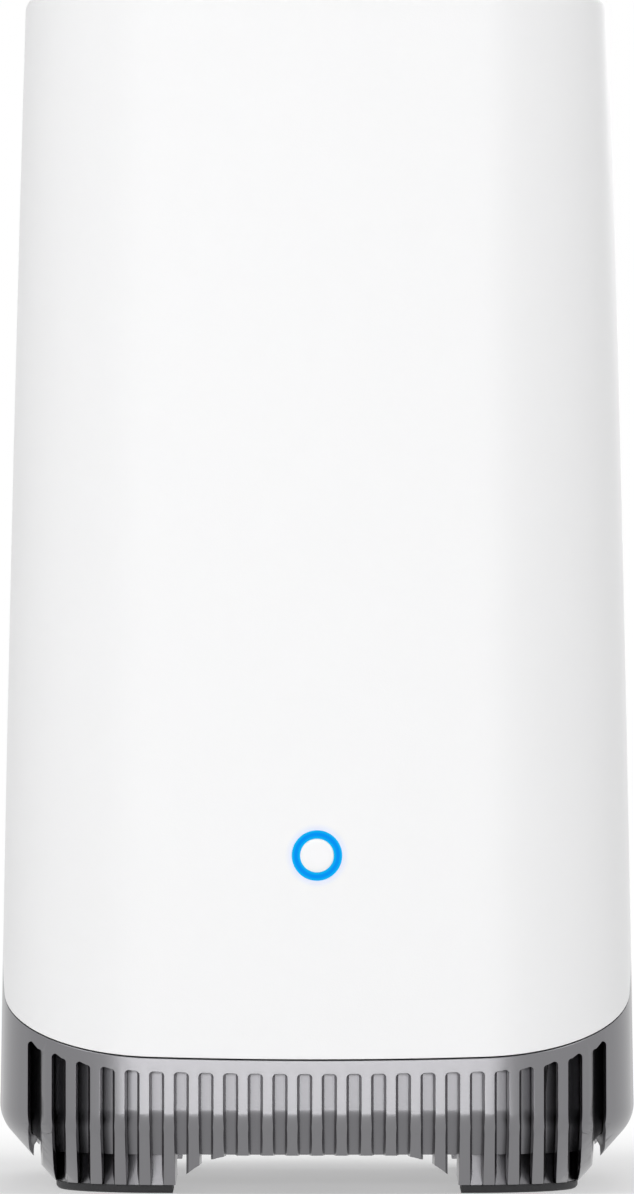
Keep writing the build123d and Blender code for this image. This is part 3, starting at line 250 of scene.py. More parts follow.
def skin_arc():
    """Where the plan's points lie at the skin, each with its outward direction, once round from the right."""
    found = []
    corner_turn = pi / 2 - 2 * half_face
    for quarter in range(4):
        facing = quarter * pi / 2
        for step in range(face_steps):
            turn = facing - half_face + 2 * half_face * step / face_steps
            bow = Vector((-bow_centre * cos(facing), -bow_centre * sin(facing)))
            found.append((bow, bow_radius, turn))
        for step in range(corner_steps):
            turn = facing + half_face + corner_turn * step / corner_steps
            diagonal = facing + pi / 4
            bend = Vector((cos(diagonal), sin(diagonal))) * corner_centre * sqrt(2)
            found.append((bend, corner_radius, turn))
    return found


skin = skin_arc()


def skin_points(inset):
    """The plan drawn in by inset, as points once round."""
    return [centre + Vector((cos(turn), sin(turn))) * (radius - inset) for centre, radius, turn in skin]


def lean(level):
    """How far the wall has leaned in at a level."""
    share = (level - lean_foot) / (height - lean_foot)
    return lean_top * share**2 + 2 * lean_pull * share * (1 - share)


def lofted(name, rings):
    """A closed form through outlines that all have the same number of points."""
    count = len(rings[0])
    bpy.ops.mesh.primitive_circle_add(vertices=count, radius=half_width * mm, fill_type="NGON")
    made = bpy.context.object
    made.name = name
    bpy.ops.object.mode_set(mode="EDIT")
    bpy.ops.mesh.select_all(action="SELECT")
    for _ in rings[1:]:
        bpy.ops.mesh.extrude_region_move(TRANSFORM_OT_translate={"value": (0, 0, mm)})
    bpy.ops.object.mode_set(mode="OBJECT")
    found = sorted(made.data.vertices, key=lambda v: (round(v.co.z / mm), atan2(v.co.y, v.co.x) % (2 * pi)))
    for ring_index, ring in enumerate(rings):
        for vertex, spot in zip(found[ring_index * count:], ring):
            vertex.co = spot * mm
    bpy.ops.object.mode_set(mode="EDIT")
    bpy.ops.mesh.select_all(action="SELECT")
    bpy.ops.mesh.normals_make_consistent(inside=False)
    bpy.ops.object.mode_set(mode="OBJECT")
    return made


def stack(name, rings, plan=skin_points):
    """A closed form through plan outlines, from the lowest (level, inset) to the highest."""
    return lofted(name, [[Vector((spot.x, spot.y, level)) for spot in plan(inset)] for level, inset in rings])


def take(piece):
    """Selects a piece alone and makes it the active one."""
    bpy.ops.object.select_all(action="DESELECT")
    piece.select_set(True)
    bpy.context.view_layer.objects.active = piece


def finish_mesh(piece, finish, body, slot, *stands_for, angle=35.0):
    """Smooths a piece, gives it its material, ties it to its body and hides the CAD nodes it stands for; the
    slot is not used.
    """
    take(piece)
    bpy.ops.object.transform_apply(location=True, rotation=True, scale=True)
    bpy.ops.object.shade_smooth_by_angle(angle=radians(angle))
    apply(piece, "WEIGHTED_NORMAL", keep_sharp=True, weight=80)
    piece.data.materials.clear()
    piece.data.materials.append(finish.material)
    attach(piece, body)
    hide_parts(*stands_for)
    piece.select_set(False)


def apply(piece, kind, **settings):
    """Adds a modifier to a piece, sets it up and applies it."""
    take(piece)
    added = piece.modifiers.new(kind.lower(), kind)
    for name, value in settings.items():
        setattr(added, name, value)
    bpy.ops.object.modifier_apply(modifier=added.name)


def combine(piece, other, operation):
    """Joins a piece with another form, cuts it by it or trims it to it, and throws the other form away."""
    apply(piece, "BOOLEAN", operation=operation, solver="EXACT", object=other)
    bpy.data.objects.remove(other, do_unlink=True)


def cut(piece, cutter):
    """Cuts the cutter's form out of a piece."""
    combine(piece, cutter, "DIFFERENCE")


def saw(piece, offset, above):
    """Cuts a piece along the parting plane moved up by offset, and keeps what is above or below it."""
    take(piece)
    bpy.ops.object.mode_set(mode="EDIT")
    bpy.ops.mesh.select_all(action="SELECT")
    normal = Vector((0, -sin(parting_tilt), cos(parting_tilt)))
    point = Vector((0, -half_width, parting_front)) * mm + normal * offset * mm
    bpy.ops.mesh.bisect(
        plane_co=point, plane_no=normal, clear_inner=above, clear_outer=not above, use_fill=True,
        threshold=1e-7,
    )
    bpy.ops.object.mode_set(mode="OBJECT")


def cover_rings(wall_steps=28, blend_steps=6):
    """Rings of the leaning wall up to the top, with the round of the top edge."""
    wall_top = height - top_blend
    levels = [cover_low + (wall_top - cover_low) * index / wall_steps for index in range(wall_steps + 1)]
    rings = [(level, lean(level)) for level in levels]
    for index in range(1, blend_steps + 1):
        turn = pi / 2 * index / blend_steps
        rings.append((wall_top + top_blend * sin(turn), lean(wall_top) + top_blend * (1 - cos(turn))))
    return rings


def disc(name, radius, depth, face_y, x, z, vertices=64):
    """A round bar along Y whose front face lies at face_y."""
    bpy.ops.mesh.primitive_cylinder_add(
        vertices=vertices, radius=radius * mm, depth=depth * mm,
        location=(x * mm, (face_y + depth / 2) * mm, z * mm), rotation=(pi / 2, 0, 0),
    )
    bpy.ops.object.transform_apply(location=True, rotation=True, scale=True)
    made = bpy.context.object
    made.name = name
    return made


cover = stack("top_shell_skin", cover_rings())
hollow_levels = (6.0, 40.0, 80.0, 120.0, 160.0, 190.5)
hollow = stack("cover_hollow", [(level, cover_wall + lean(level)) for level in hollow_levels])
saw(cover, parting_gap, True)
cut(cover, hollow)
cut(cover, disc("light_hole", light_hole, 20, -61, 0, light_height, 96))
cover_white = Finish("cover_white", Specular_IOR_Level=0.45)
cloud = cover_white.noise(0.05, 3.0)
cover_white.put("Roughness", cloud * 0.05 + 0.395)
white = cover_white.mix(cloud, (0.880, 0.880, 0.883), (0.890, 0.890, 0.893))
# Painted glow: a faint blue tint is painted into the cover's colour round the light hole. It stands in for
# the status light's glow falling on the white surface.
painted_glow_blue = (0.76, 0.80, 0.94)
painted_glow_start, painted_glow_end = 4.0 * mm, 5.3 * mm
light_axis = cover_white.place(scale=(1, 0, 1), move=(0, 0, -light_height * mm))
from_light = cover_white.node("ShaderNodeVectorMath", {"operation": "LENGTH"}, {0: light_axis}, "Value")
past_painted_glow = cover_white.fade(from_light, painted_glow_start, painted_glow_end)
cover_white.put("Base Color", cover_white.mix(past_painted_glow, painted_glow_blue, white))
cover_white.emboss(cover_white.noise(0.00022), 0.000012)
finish_mesh(cover, cover_white, "housing", "cover_white", "top_shell")


# Status light.
# A clear ring, lit blue from behind by four diodes, sits almost flush in its hole in the cover. A white disc
# fills the middle of it. Both are plastic mouldings pressed in from behind.
ring_outer = 4.0
ring_inner = 2.75
ring_rim = 0.16
core_radius = ring_inner - 0.05
core_rim = 0.12
light_front = half_width - lean(light_height)
ring_face = -light_front - 0.04
core_face = -light_front - 0.02
light_depth = 3.2


def clear_mesh_selection(piece):
    """Makes a piece the active one, with no face, edge or point of it selected."""
    take(piece)
    bpy.ops.object.mode_set(mode="EDIT")
    bpy.ops.mesh.select_all(action="DESELECT")
    bpy.ops.object.mode_set(mode="OBJECT")


def pick_faces(piece, wanted):
    """Selects the faces of a piece that wanted(centre, normal) says yes to, and goes into face mode."""
    clear_mesh_selection(piece)
    for face in piece.data.polygons:
        face.select = bool(wanted(face.center / mm, face.normal))
    bpy.ops.object.mode_set(mode="EDIT")
    bpy.context.tool_settings.mesh_select_mode = (False, False, True)


def pick_edges(piece, wanted):
    """Selects the edges of a piece that wanted(one end, other end) says yes to, and goes into edge mode."""
    clear_mesh_selection(piece)
    bpy.ops.object.mode_set(mode="EDIT")
    bpy.context.tool_settings.mesh_select_mode = (False, True, False)
    bpy.ops.object.mode_set(mode="OBJECT")
    points = piece.data.vertices
    for edge in piece.data.edges:
        edge.select = bool(wanted(*(points[index].co / mm for index in edge.vertices)))
    bpy.ops.object.mode_set(mode="EDIT")


def done():
    """Leaves edit mode."""
    bpy.ops.object.mode_set(mode="OBJECT")


def soften_rim(piece, x, z, face_y, radii, offset, segments=3):
    """Rounds the edges that run round a bar at some radii in the plane of its face."""
    off_plane, off_radius, longest = 0.01, 0.05, 1.0

    def on_rim(point):
        reach = sqrt((point.x - x) ** 2 + (point.z - z) ** 2)
        return abs(point.y - face_y) < off_plane and min(abs(reach - r) for r in radii) < off_radius

    pick_edges(piece, lambda a, b: on_rim(a) and on_rim(b) and (a - b).length < longest)
    bpy.ops.mesh.bevel(offset=offset * mm, segments=segments, affect="EDGES")
    done()


ring = disc("light_ring_lens", ring_outer, light_depth, ring_face, 0, light_height, 96)
pick_faces(ring, lambda centre, normal: abs(normal.y) > 0.9)
bpy.ops.mesh.inset(thickness=(ring_outer - ring_inner) * mm, use_individual=True)
bpy.ops.mesh.bridge_edge_loops()
done()
soften_rim(ring, 0, light_height, ring_face, (ring_inner, ring_outer), ring_rim)
ring_light = Finish(
    "ring_light", Roughness=0.5, Base_Color=(0.0, 0.01, 0.03), Specular_IOR_Level=0.0, Emission_Strength=1.0,
)
ring_blue, edge_cyan = (0.003, 0.28, 0.87), (0.006, 0.46, 0.87)
from_axis = ring_light.node("ShaderNodeVectorMath", {"operation": "LENGTH"}, {
    0: ring_light.place(scale=(1, 0, 1), move=(0, 0, -light_height * mm)),
}, "Value")
edge_share = ring_light.fade(abs(from_axis - (ring_inner + ring_outer) / 2 * mm), 0.1 * mm, 0.62 * mm)
patch = ring_light.noise(0.0012, 1.0)
ring_light.put("Emission Color", ring_light.mix(edge_share * (patch * 0.3 + 0.85), ring_blue, edge_cyan))
finish_mesh(ring, ring_light, "housing", "ring_light", "light_ring")

core = disc("ring_core_disc", core_radius, light_depth, core_face, 0, light_height, 72)
pick_faces(core, lambda centre, normal: normal.y < -0.9)
for band in (0.8, 0.9):
    bpy.ops.mesh.inset(thickness=band * mm)
done()
soften_rim(core, 0, light_height, core_face, (core_radius,), core_rim)
ring_core_white = Finish("ring_core_white")
ring_core_white.wear((0.885, 0.885, 0.892), strength=0.008, size=0.002, roughness=0.35)
finish_mesh(core, ring_core_white, "housing", "ring_core_white", "ring_core")


# Finned skirt.
# The grey skin of the base, moulded and finished in a satin metallic paint. It carries on the line of the
# cover, turns in below along a chamfer, and is combed by upright slots with rounded tops. Two arches under it
# leave a foot at each corner.
chamfer_angle = radians(41.3)
chamfer_slope = tan(chamfer_angle)
chamfer_blend = 6.0
skirt_wall = 2.2
skirt_foot = 9.05
pad_top = 1.3
underside = 6.3
slot_count = 24
front_pitch = 3.95
slot_width = 2.35
slot_top = 0.65
slot_draft = 0.36
throat_depth = 2.0
rib_growth = 0.012
slot_drop = 2.0
slot_reach = 27.5
side_reach = 52.2
side_start = 44
arch_flat = 12.75
arch_blend = 12.2
past = 8.0
far = 60.0
panel_low, panel_high, panel_width = 13.0, 51.0, 60.0
panel_gap = 0.15
wall_levels = (16.0, 26.0, 33.0, 40.0, 47.0, 54.0, 61.0)


def chamfered(inset, low, high, blend, steps=8):
    """Rings of the base skin moved in by inset: the chamfer, its rounded edge, and the leaning wall."""
    edge = lean_foot + inset * tan(chamfer_angle / 2)
    edge_inset = inset + lean(edge)
    rings = [(low, edge_inset + (edge - low) * chamfer_slope)]
    if blend:
        blend_top = edge + blend * tan(chamfer_angle / 2)
        for index in range(steps + 1):
            turn = chamfer_angle * (1 - index / steps)
            rings.append((blend_top - blend * sin(turn), edge_inset + blend * (1 - cos(turn))))
    else:
        rings.append((edge, edge_inset))
    rings += [(level, inset + lean(level)) for level in (*wall_levels, high)]
    return rings


def plan_out(across, inset):
    """How far out the plan drawn in by inset lies, at a distance across from the middle of a face."""
    if across <= (bow_radius - inset) * sin(half_face):
        return sqrt((bow_radius - inset) ** 2 - across**2) - bow_centre
    return corner_centre + sqrt(max(0.0, (corner_radius - inset) ** 2 - (across - corner_centre) ** 2))


def comb_points(inset, even=18, uneven=4):
    """The plan drawn in by inset, with its points in the middle of the slots and ribs, so that no slot's edge
    passes close to one."""
    diagonal = corner_centre + (corner_radius - inset) / sqrt(2)
    last_even = even * front_pitch / 2
    steps = [step * front_pitch / 2 for step in range(even + 1)]
    steps += [last_even + (diagonal - last_even) * step / uneven for step in range(1, uneven + 1)]
    eighth = [(plan_out(across, inset), across) for across in steps]
    quarter = eighth + [(across, out) for out, across in reversed(eighth[1:-1])]
    around = []
    for turn in range(4):
        facing, beside = round(cos(turn * pi / 2)), round(sin(turn * pi / 2))
        around += [Vector((x * facing - y * beside, x * beside + y * facing)) for x, y in quarter]
    return around


def slot_ring(x, half, at, top, breaks, steps=6):
    """One outline of a slot's cutter: up one side, round the two top corners and down the other side. The
    height of the top depends on how far out the surface lies there, so it is found in a few rounds."""
    corner = slot_top * half / (slot_width / 2)
    sides = []
    for side in (1, -1):
        peak = top(at(x + side * half, breaks[-1]))
        for _ in range(3):
            peak = top(at(x + side * half, peak))
        spots = [(half - rib_growth * max(0.0, lean_foot - level), level) for level in breaks]
        for index in range(steps + 1):
            turn = pi / 2 * index / steps
            spots.append((half - corner * (1 - cos(turn)), peak - corner * (1 - sin(turn))))
        sides.append([Vector((x + side * wide, at(x + side * wide, level), level)) for wide, level in spots])
    return sides[0] + sides[1][::-1]


def comb(piece, places, facing, top, breaks):
    """Cuts slots whose walls draw together through the thickness of the skin, and run on inwards. Each is
    cut alone, and again a hair to the side where the cut has broken the piece."""
    mouth, throat = slot_width / 2, slot_width / 2 - slot_draft
    mouth_proud = 0.05
    nudges = (0.0, 0.01, -0.01, 0.03, -0.03, 0.06, -0.06, 0.1, -0.1)

    def on_skin(across, level, deep, end):
        inset = lean(level) if level > lean_foot else (lean_foot - level) * chamfer_slope
        return facing * max(plan_out(abs(across), inset) - deep, end + throat_depth - deep + 1.0)

    def inner_top(y):
        return top(y) - slot_draft

    for place in places:
        end = half_width - (slot_reach if abs(place) < side_start else side_reach)
        outlines = (
            (mouth, lambda a, z: facing * (half_width + past), top),
            (mouth, lambda a, z: on_skin(a, z, -mouth_proud, end), top),
            (throat, lambda a, z: on_skin(a, z, throat_depth, end), inner_top),
            (throat, lambda a, z: facing * end, inner_top),
        )
        whole = piece.data.copy()
        for nudge in nudges:
            cut(piece, lofted("slot", [slot_ring(place + nudge, *outline, breaks) for outline in outlines]))
            if len(piece.data.polygons) > len(whole.polygons):
                break
            piece.data = whole.copy()


def block(name, low, high, corner=0.0, axis="z", segments=5):
    """A block from corner to corner whose edges along one axis may be rounded."""
    low, high = Vector(low), Vector(high)
    bpy.ops.mesh.primitive_cube_add(size=1.0)
    made = bpy.context.object
    made.name = name
    made.scale = (high - low) * mm
    made.location = (high + low) / 2 * mm
    bpy.ops.object.transform_apply(location=True, scale=True)
    if corner:
        others = [a for a in "xyz" if a != axis]
        pick_edges(made, lambda a, b: all(abs(getattr(a, o) - getattr(b, o)) < 0.01 for o in others))
        bpy.ops.mesh.bevel(offset=corner * mm, segments=segments, affect="EDGES")
        done()
    return made


def arch_cutters():
    """The voids under the base, front to back and side to side: a block between two lying bars."""
    made = []
    depth = 10
    for along in (0.0, pi / 2):
        bpy.ops.mesh.primitive_cube_add(size=1.0, location=(0, 0, (underside - depth) / 2 * mm))
        bpy.context.object.scale = (2 * arch_flat * mm, 2 * far * mm, (underside + depth) * mm)
        bpy.ops.object.transform_apply(location=True, rotation=True, scale=True)
        parts = [bpy.context.object]
        for side in (-1, 1):
            bar_z = underside - arch_blend
            parts.append(disc("arch_side", arch_blend, 2 * far, -far, side * arch_flat, bar_z, 144))
        for part in parts:
            take(part)
            part.rotation_euler = (0, 0, along)
            bpy.ops.object.transform_apply(rotation=True)
        made += parts
    return made


def joined(name, parts):
    """Several forms as one object, so that one cut takes them all."""
    bpy.ops.object.select_all(action="DESELECT")
    for part in parts:
        part.select_set(True)
    bpy.context.view_layer.objects.active = parts[0]
    bpy.ops.object.join()
    parts[0].name = name
    return parts[0]


def panel_cutter():
    """The window in the back of the base that the port panel fills."""
    half = panel_width / 2 + panel_gap
    low, high = (-half, 43.2, panel_low - panel_gap), (half, 63.2, panel_high + panel_gap)
    return block("panel_cut", low, high, 4.15, "y", 6)


def tilted_top(y):
    """How high the slots go, a little under the tilted parting plane."""
    return parting_front - slot_drop / cos(parting_tilt) + (y + half_width) * tan(parting_tilt)


slot_places = [(index - (slot_count - 1) / 2) * front_pitch for index in range(slot_count)]
foot_breaks = (-past, 0.0, 3.0, 6.3, 9.0, 10.0, 11.0, 12.5)
rear_breaks = foot_breaks + (23.0, 33.0)
low_top = panel_low - 2.2
beside = panel_width / 2 + front_pitch

skirt = stack("fin_skirt_skin", chamfered(0, pad_top, 70.0, chamfer_blend), comb_points)
cut(skirt, stack("skirt_hollow", chamfered(skirt_wall, underside - 0.15, 80.0, 0)))
cut(skirt, stack("skirt_core", [(-5.0, skirt_foot), (underside, skirt_foot)]))
saw(skirt, 0.0, False)
for arch in arch_cutters():
    cut(skirt, arch)
comb(skirt, slot_places, -1, tilted_top, foot_breaks)
comb(skirt, [x for x in slot_places if abs(x) > beside], 1, tilted_top, rear_breaks)
comb(skirt, [x for x in slot_places if abs(x) < beside], 1, lambda y: low_top, foot_breaks[:4])
cut(skirt, panel_cutter())
apply(skirt, "BEVEL", width=0.09 * mm, segments=2, limit_method="ANGLE", angle_limit=radians(40),
      use_clamp_overlap=False)
base_grey = Finish("base_grey", Metallic=1.0)
base_grey.wear((0.206, 0.204, 0.213), strength=0.02, size=0.04, roughness=0.30, change=0.04)
base_grey.emboss(base_grey.noise(0.0003), 0.000006)
finish_mesh(skirt, base_grey, "housing", "base_grey", "fin_skirt", angle=40.0)


# Inner tub.
# The grey moulding inside the skirt: its wall shows through the slots, and its floor is the underside, with
# the feet, the mouth of the drive bay, the speaker's grille and the air slots.
bay_y = -2.0
frame_top = 10.8
floor_top = 8.3
foot_inner = 23.2
rear_foot_inner = 24.6
tub_outer, tub_inner, tub_blend = 2.35, 4.15, 5.0
core_inset, core_top = 9.2, 7.3
boss_radius, boss_x, boss_y = 3.2, 39.1, 25.2
post_places = [(x, y) for x in (-36.5, 36.5) for y in (-28.0, 28.0)]
hinge_places = (-18, 18)
door_screw_y = -13.9
speaker_y, grille_radius, grille_pitch, grille_half = -31, 10.6, 3.2, 0.8
vents_y, vent_reach, vent_pitch, vent_half = 24, 9, 3.6, 0.9


def fuse(piece, other):
    """Adds another form to a piece."""
    combine(piece, other, "UNION")


def upright(name, radius, low, high, x, y, vertices=40):
    """A round bar along Z from a low level to a high one."""
    bpy.ops.mesh.primitive_cylinder_add(
        vertices=vertices, radius=radius * mm, depth=(high - low) * mm,
        location=(x * mm, y * mm, (low + high) / 2 * mm),
    )
    bpy.ops.object.transform_apply(location=True)
    made = bpy.context.object
    made.name = name
    return made


tub = stack("inner_tub_skin", chamfered(tub_outer, underside, 72.0, tub_blend))
cut(tub, stack("tub_hollow", chamfered(tub_inner, floor_top, 80.0, 0)))
fuse(tub, stack("foot_cores", [(pad_top, core_inset), (core_top, core_inset)]))
for side_x in (-1, 1):
    for side_y in (-1, 1):
        fuse(tub, upright("core_side", boss_radius, pad_top, core_top, side_x * boss_x, side_y * boss_y))
cut(tub, block("between_feet", (-foot_inner, -far, -5), (foot_inner, 0, underside)))
cut(tub, block("between_rear_feet", (-rear_foot_inner, 0, -5), (rear_foot_inner, far, underside)))
cut(tub, block("across_feet", (-far, -foot_inner, -5), (far, foot_inner, underside)))
saw(tub, 3.0, False)
fuse(tub, block("bay_frame", (-44, -16.4, underside), (44, 12.4, frame_top)))
fuse(tub, block("tab_frame", (-7.2, -17.6, underside), (7.2, -11.0, frame_top)))
cut(tub, block("door_recess", (-39.2, -11.6, 0), (39.2, 8.3, 8.1), 1.5))
cut(tub, block("tab_recess", (-6.2, -16.6, 0), (6.2, -4.0, 8.1), 0.8))
pockets = [block("pocket", (x - 4.5, bay_y, 0), (x + 4.5, 11.6, 9.9)) for x in hinge_places]
cut(tub, joined("hinge_pockets", pockets))
cut(tub, block("bay_mouth", (-35.5, -9.75, 0), (35.5, 5.75, 20), 0.6))
cut(tub, joined("screw_bores", [upright("bore", 3.1, -1, 4.3, x, y) for x, y in post_places]))
cut(tub, joined("screw_holes", [upright("hole", 1.7, 3, 12, x, y, 24) for x, y in post_places]))
cut(tub, upright("door_screw_bore", 1.8, 5, 10.3, 0, door_screw_y, 24))
grille = []
for index in range(-3, 4):
    x = index * grille_pitch
    half = sqrt(grille_radius**2 - (abs(x) + 0.4) ** 2)
    low, high = (x - grille_half, speaker_y - half, 0), (x + grille_half, speaker_y + half, 20)
    grille.append(block("grille_slot", low, high, 0.79))
cut(tub, joined("grille", grille))
vents = []
for index in range(-2, 3):
    y = vents_y + index * vent_pitch
    vents.append(block("vent", (-vent_reach, y - vent_half, 0), (vent_reach, y + vent_half, 20), 0.89))
cut(tub, joined("vents", vents))
cut(tub, panel_cutter())
tub_grey = Finish("tub_grey", Metallic=1.0)
tub_grey.wear((0.180, 0.178, 0.187), strength=0.02, size=0.04, roughness=0.31, change=0.04)
tub_grey.emboss(tub_grey.noise(0.0003), 0.000006)
finish_mesh(tub, tub_grey, "housing", "tub_grey", "inner_tub", angle=25.0)


# Foot pads.
# Four dark rubber pads, cut to the outline of the feet, glued in under them.
pad_rings = [(0.0, 9.4), (0.12, 9.12), (0.3, 8.96), (0.5, 8.9), (pad_top, 8.9)]
pad_corner = 2.0
pad_rubber = Finish("pad_rubber", Specular_IOR_Level=0.3)
pad_rubber.wear((0.036, 0.036, 0.038), strength=0.12, size=0.006, roughness=0.72, change=0.1)
pad_rubber.emboss(pad_rubber.noise(0.0004, 3.0), 0.00004)
for name, side_x, side_y in (
    ("front_left", -1, -1), ("front_right", 1, -1), ("rear_left", -1, 1), ("rear_right", 1, 1),
):
    pad = stack("pad_" + name, pad_rings)
    inner_x = foot_inner if side_y < 0 else rear_foot_inner
    left, right = sorted((side_x * inner_x, side_x * far))
    near, away_from = sorted((side_y * foot_inner, side_y * far))
    combine(pad, block("keep", (left, near, -5), (right, away_from, 5), pad_corner), "INTERSECT")
    finish_mesh(pad, pad_rubber, "housing", "pad_rubber", "foot_pad_" + name)


# Port panel.
# A dark moulded tray set into the back of the base, with a rim flush with the skin and cut-outs for the
# network, USB and power sockets, the pairing button and the reset pin.
panel_face = 47.0
panel_back = 45.0
panel_corner = 4.0
tray_wall = 1.4
flange_rim = 1.2
socket_gap = 0.2
network_span, usb_span, power_span = (-27, -11, 17.7, 31.3), (-5.7, 8.7, 18.0, 25.0), (15, 25, 16.5, 27.5)
key_radius, key_gap, key_z = 5.0, 0.3, 41
reset_radius, reset_x = 0.9, 16


def upstand(name, span, back, front, corner=0.0, segments=5):
    """A block along Y over a span of the panel, given as left, right, low and high."""
    left, right, low, high = span
    return block(name, (left, back, low), (right, front, high), corner, "y", segments)


def grown(span, by):
    """A span of the panel made larger all round, or smaller."""
    left, right, low, high = span
    return left - by, right + by, low - by, high + by


panel_span = (-panel_width / 2, panel_width / 2, panel_low, panel_high)
tray = upstand("port_tray", panel_span, panel_back, 56, panel_corner)
cut(tray, upstand("tray_hollow", grown(panel_span, -tray_wall), panel_face, far, 2.6))
inside_levels = (11.0, 20.0, 30.0, 40.0, 50.0, 60.0)
combine(tray, stack("skin_inside", [(level, 0.2 + lean(level)) for level in inside_levels]), "INTERSECT")
fuse(tray, upstand("flange", grown(panel_span, flange_rim), 43.8, panel_back, panel_corner))
spans = (network_span, usb_span, power_span)
cut_outs = [upstand("cut_out", grown(span, socket_gap), 40, 50, 0.5) for span in spans]
cut_outs.append(disc("button", key_radius + key_gap, 10, 40, 0, key_z))
cut_outs.append(disc("reset", reset_radius, 10, 40, reset_x, key_z, 24))
cut(tray, joined("cut_outs", cut_outs))
apply(tray, "BEVEL", width=0.2 * mm, segments=2, limit_method="ANGLE", angle_limit=radians(60))
panel_grey = Finish("panel_grey")
panel_grey.wear((0.19, 0.19, 0.20), strength=0.05, size=0.02, roughness=0.55, change=0.08)
panel_grey.emboss(panel_grey.noise(0.00035), 0.00003)
finish_mesh(tray, panel_grey, "housing", "panel_grey", "port_panel")


# Sockets.
# A black network jack with its latch notch, a plated USB shell and a black power jack, all standing on the
# main board with their mouths just behind the port panel.
socket_face = 46.8
socket_back = 30.6
mouth_back = socket_face - 13
barrel_radius, barrel_depth = 3.2, 10
jack = upstand("network_jack", network_span, socket_back, socket_face, 0.3, 2)
cut(jack, upstand("plug_room", (-25, -13, 20.5, 28.5), mouth_back, far))
cut(jack, upstand("latch_room", (-22, -16, 18.1, 21.0), mouth_back, far))
apply(jack, "BEVEL", width=0.15 * mm, segments=2, limit_method="ANGLE", angle_limit=radians(60))
black_plastic = Finish("black_plastic")
black_plastic.wear((0.022, 0.022, 0.024), strength=0.1, size=0.01, roughness=0.32, change=0.1)
black_plastic.emboss(black_plastic.noise(0.0005), 0.00001)
finish_mesh(jack, black_plastic, "housing", "black_plastic", "ethernet_jack")

usb = upstand("usb_can", usb_span, socket_back, socket_face, 0.9, 4)
cut(usb, upstand("usb_room", grown(usb_span, -0.6), mouth_back, far, 0.4, 3))
apply(usb, "BEVEL", width=0.12 * mm, segments=2, limit_method="ANGLE", angle_limit=radians(60))
steel_sheet = Finish("steel_sheet", Metallic=1.0)
steel_sheet.wear((0.56, 0.56, 0.57), strength=0.05, size=0.004, roughness=0.3, change=0.12)
steel_sheet.emboss(steel_sheet.noise(1.0, 2.0, steel_sheet.place(scale=(300, 300, 6000))), 0.000008)
finish_mesh(usb, steel_sheet, "housing", "steel_sheet", "usb_shell")

power = upstand("power_barrel", power_span, socket_back, socket_face, 0.6, 3)
cut(power, disc("barrel_room", barrel_radius, 20, socket_face - barrel_depth, 20, 22, 48))
apply(power, "BEVEL", width=0.2 * mm, segments=2, limit_method="ANGLE", angle_limit=radians(60))
finish_mesh(power, black_plastic, "housing", "black_plastic", "power_jack")


# Pairing button.
# A round grey key with a shallow dish in its face, which stands a little proud of the panel and is pressed in
# against its switch.
key_back, key_depth = 44.5, 3.6
key_rim = 0.4
key = disc("pairing_key", key_radius, key_depth, key_back, 0, key_z, 72)
pick_faces(key, lambda centre, normal: normal.y > 0.9)
bpy.ops.mesh.inset(thickness=1.1 * mm)
for sunk in (0.06, 0.13, 0.09):
    bpy.ops.mesh.inset(thickness=1.0 * mm, depth=-sunk * mm)
done()
soften_rim(key, 0, key_z, key_back + key_depth, (key_radius,), key_rim, 4)
fuse(key, disc("key_flange", 6.4, 1.0, 43.7, 0, key_z, 72))
fuse(key, disc("key_stem", 2.2, 5.0, 39.5, 0, key_z, 48))
button_grey = Finish("button_grey", Specular_IOR_Level=0.5)
button_grey.wear((0.42, 0.42, 0.44), strength=0.03, size=0.01, roughness=0.38)
button_grey.emboss(button_grey.noise(0.0003), 0.00001)
finish_mesh(key, button_grey, "sync_button", "button_grey", "sync_button")


# Drive door.
# A flat plate of the same grey in the underside, on two knuckles, with a tab that one captive screw holds
# shut and a shallow slot for a fingertip.
door_low, door_high = -11.4, 7.4
door_top = 7.9
hinge_y = 9.6
knuckle_radius, knuckle_half = 1.5, 4
door = block("bay_door", (-39, door_low, underside), (39, door_high, door_top), 1.5)
fuse(door, block("door_tab", (-6, door_low - 5.0, underside), (6, bay_y, door_top), 0.7))
for x in hinge_places:
    arm_low, arm_high = (x - knuckle_half, bay_y, underside), (x + knuckle_half, hinge_y, door_top)
    fuse(door, block("knuckle_arm", arm_low, arm_high))
    bpy.ops.mesh.primitive_cylinder_add(
        vertices=32, radius=knuckle_radius * mm, depth=2 * knuckle_half * mm,
        location=(x * mm, hinge_y * mm, door_top * mm), rotation=(0, pi / 2, 0),
    )
    bpy.ops.object.transform_apply(location=True, rotation=True)
    fuse(door, bpy.context.object)
cut(door, block("finger_slot", (-8, bay_y - 1.2, 0), (8, bay_y + 1.2, underside + 0.7), 1.19))
cut(door, upright("tab_hole", 1.4, 5, 9, 0, door_screw_y, 32))
cut(door, upright("tab_sink", 2.35, 5, 7.1, 0, door_screw_y, 32))
apply(door, "BEVEL", width=0.18 * mm, segments=2, limit_method="ANGLE", angle_limit=radians(60))
door_grey = Finish("door_grey")
door_grey.wear((0.16, 0.16, 0.168), strength=0.05, size=0.02, roughness=0.5, change=0.08)
door_grey.emboss(door_grey.noise(0.00035), 0.00002)
finish_mesh(door, door_grey, "drive_door", "door_grey", "drive_door")


# Inside the cover.
# The boards, drive cage, fan, antennas, speaker and screws keep their solids. Each takes the finish of what
# it is made of: solder mask, plated sheet, extruded aluminium, moulded plastic, copper, paper or steel.
def plain(name, colour, roughness, grain, depth, metallic=0.0, strength=0.08, cloud=0.01):
    """A finish with a slight cloud in colour and gloss and a fine grain."""
    made = Finish(name, Metallic=metallic)
    made.wear(colour, strength=strength, size=cloud, roughness=roughness, change=0.1)
    made.emboss(made.noise(grain), depth)
    return made


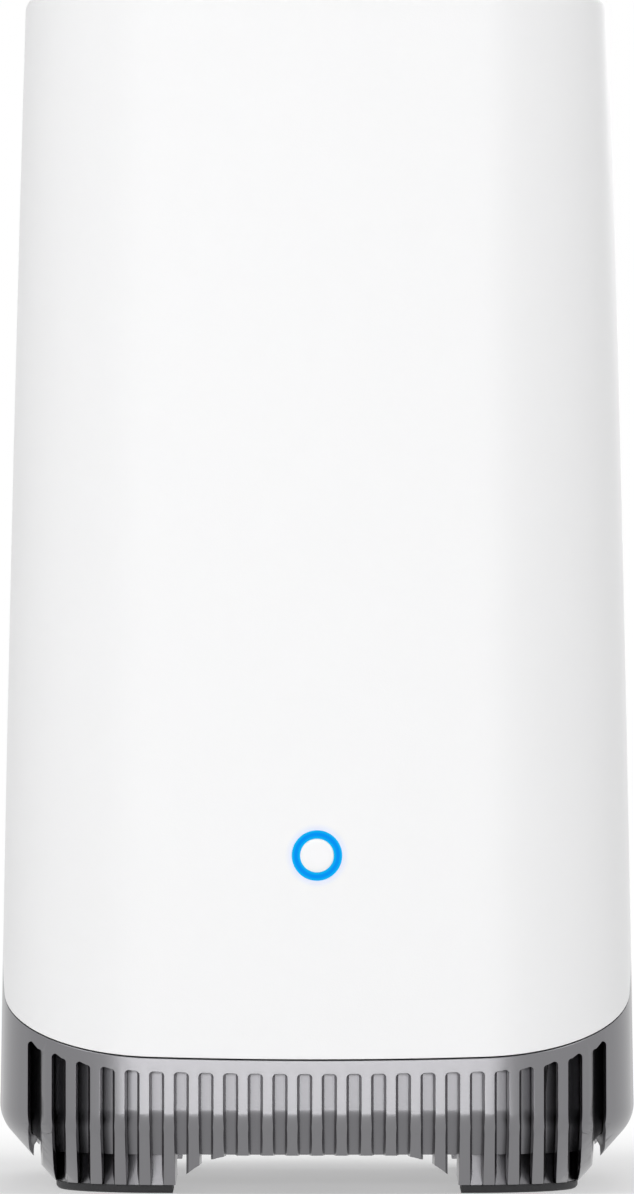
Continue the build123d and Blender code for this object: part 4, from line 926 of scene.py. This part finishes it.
board_green = plain("board_green", (0.02, 0.13, 0.06), 0.35, 0.0006, 0.00002, strength=0.15, cloud=0.003)
sink_aluminium = plain("sink_aluminium", (0.62, 0.62, 0.63), 0.35, 0.0004, 0.00001, 1.0)
chip_black = plain("chip_black", (0.03, 0.03, 0.032), 0.55, 0.0003, 0.00001)
contact_brass = plain("contact_brass", (0.75, 0.55, 0.22), 0.28, 0.0005, 0.000005, 1.0)
carrier_white = plain("carrier_white", (0.68, 0.67, 0.62), 0.5, 0.0004, 0.00002)
antenna_copper = plain("antenna_copper", (0.42, 0.22, 0.1), 0.4, 0.0005, 0.00001, 0.6)
led_white = plain("led_white", (0.85, 0.82, 0.6), 0.25, 0.0004, 0.00001)
speaker_black = plain("speaker_black", (0.025, 0.025, 0.026), 0.45, 0.0006, 0.00002)
magnet_steel = plain("magnet_steel", (0.32, 0.32, 0.33), 0.4, 0.0006, 0.00001, 1.0)
cone_paper = plain("cone_paper", (0.05, 0.05, 0.055), 0.9, 0.0003, 0.00008, strength=0.2, cloud=0.002)
screw_steel = plain("screw_steel", (0.45, 0.45, 0.46), 0.32, 0.0005, 0.00001, 1.0)
inside = {
    board_green: ("main_board", "led_board", "sata_board"),
    steel_sheet: ("drive_cage", "radio_shield"),
    sink_aluminium: ("heat_sink",),
    black_plastic: ("fan_frame", "fan_rotor", "usb_tongue", "sata_connector", "sync_plunger"),
    chip_black: ("processor", "memory_chips", "sync_switch", "reset_switch"),
    contact_brass: ("board_standoffs", "ethernet_contacts", "power_pin"),
    ring_core_white: ("reset_plunger",),
    carrier_white: ("antenna_carrier",),
    antenna_copper: ("antenna_left", "antenna_right"),
    led_white: ("led_chips",),
    speaker_black: ("speaker_basket",),
    magnet_steel: ("speaker_magnet",),
    cone_paper: ("speaker_cone",),
    pad_rubber: ("speaker_gasket",),
    screw_steel: ("board_screws", "cage_screws", "cover_screws", "door_screw", "fan_screws",
                  "led_board_screws", "sata_screws", "hinge_pins"),
}
for finish, names in inside.items():
    for name in names:
        nodes[name].data.materials.clear()
        nodes[name].data.materials.append(finish.material)

bpy.context.view_layer.update()
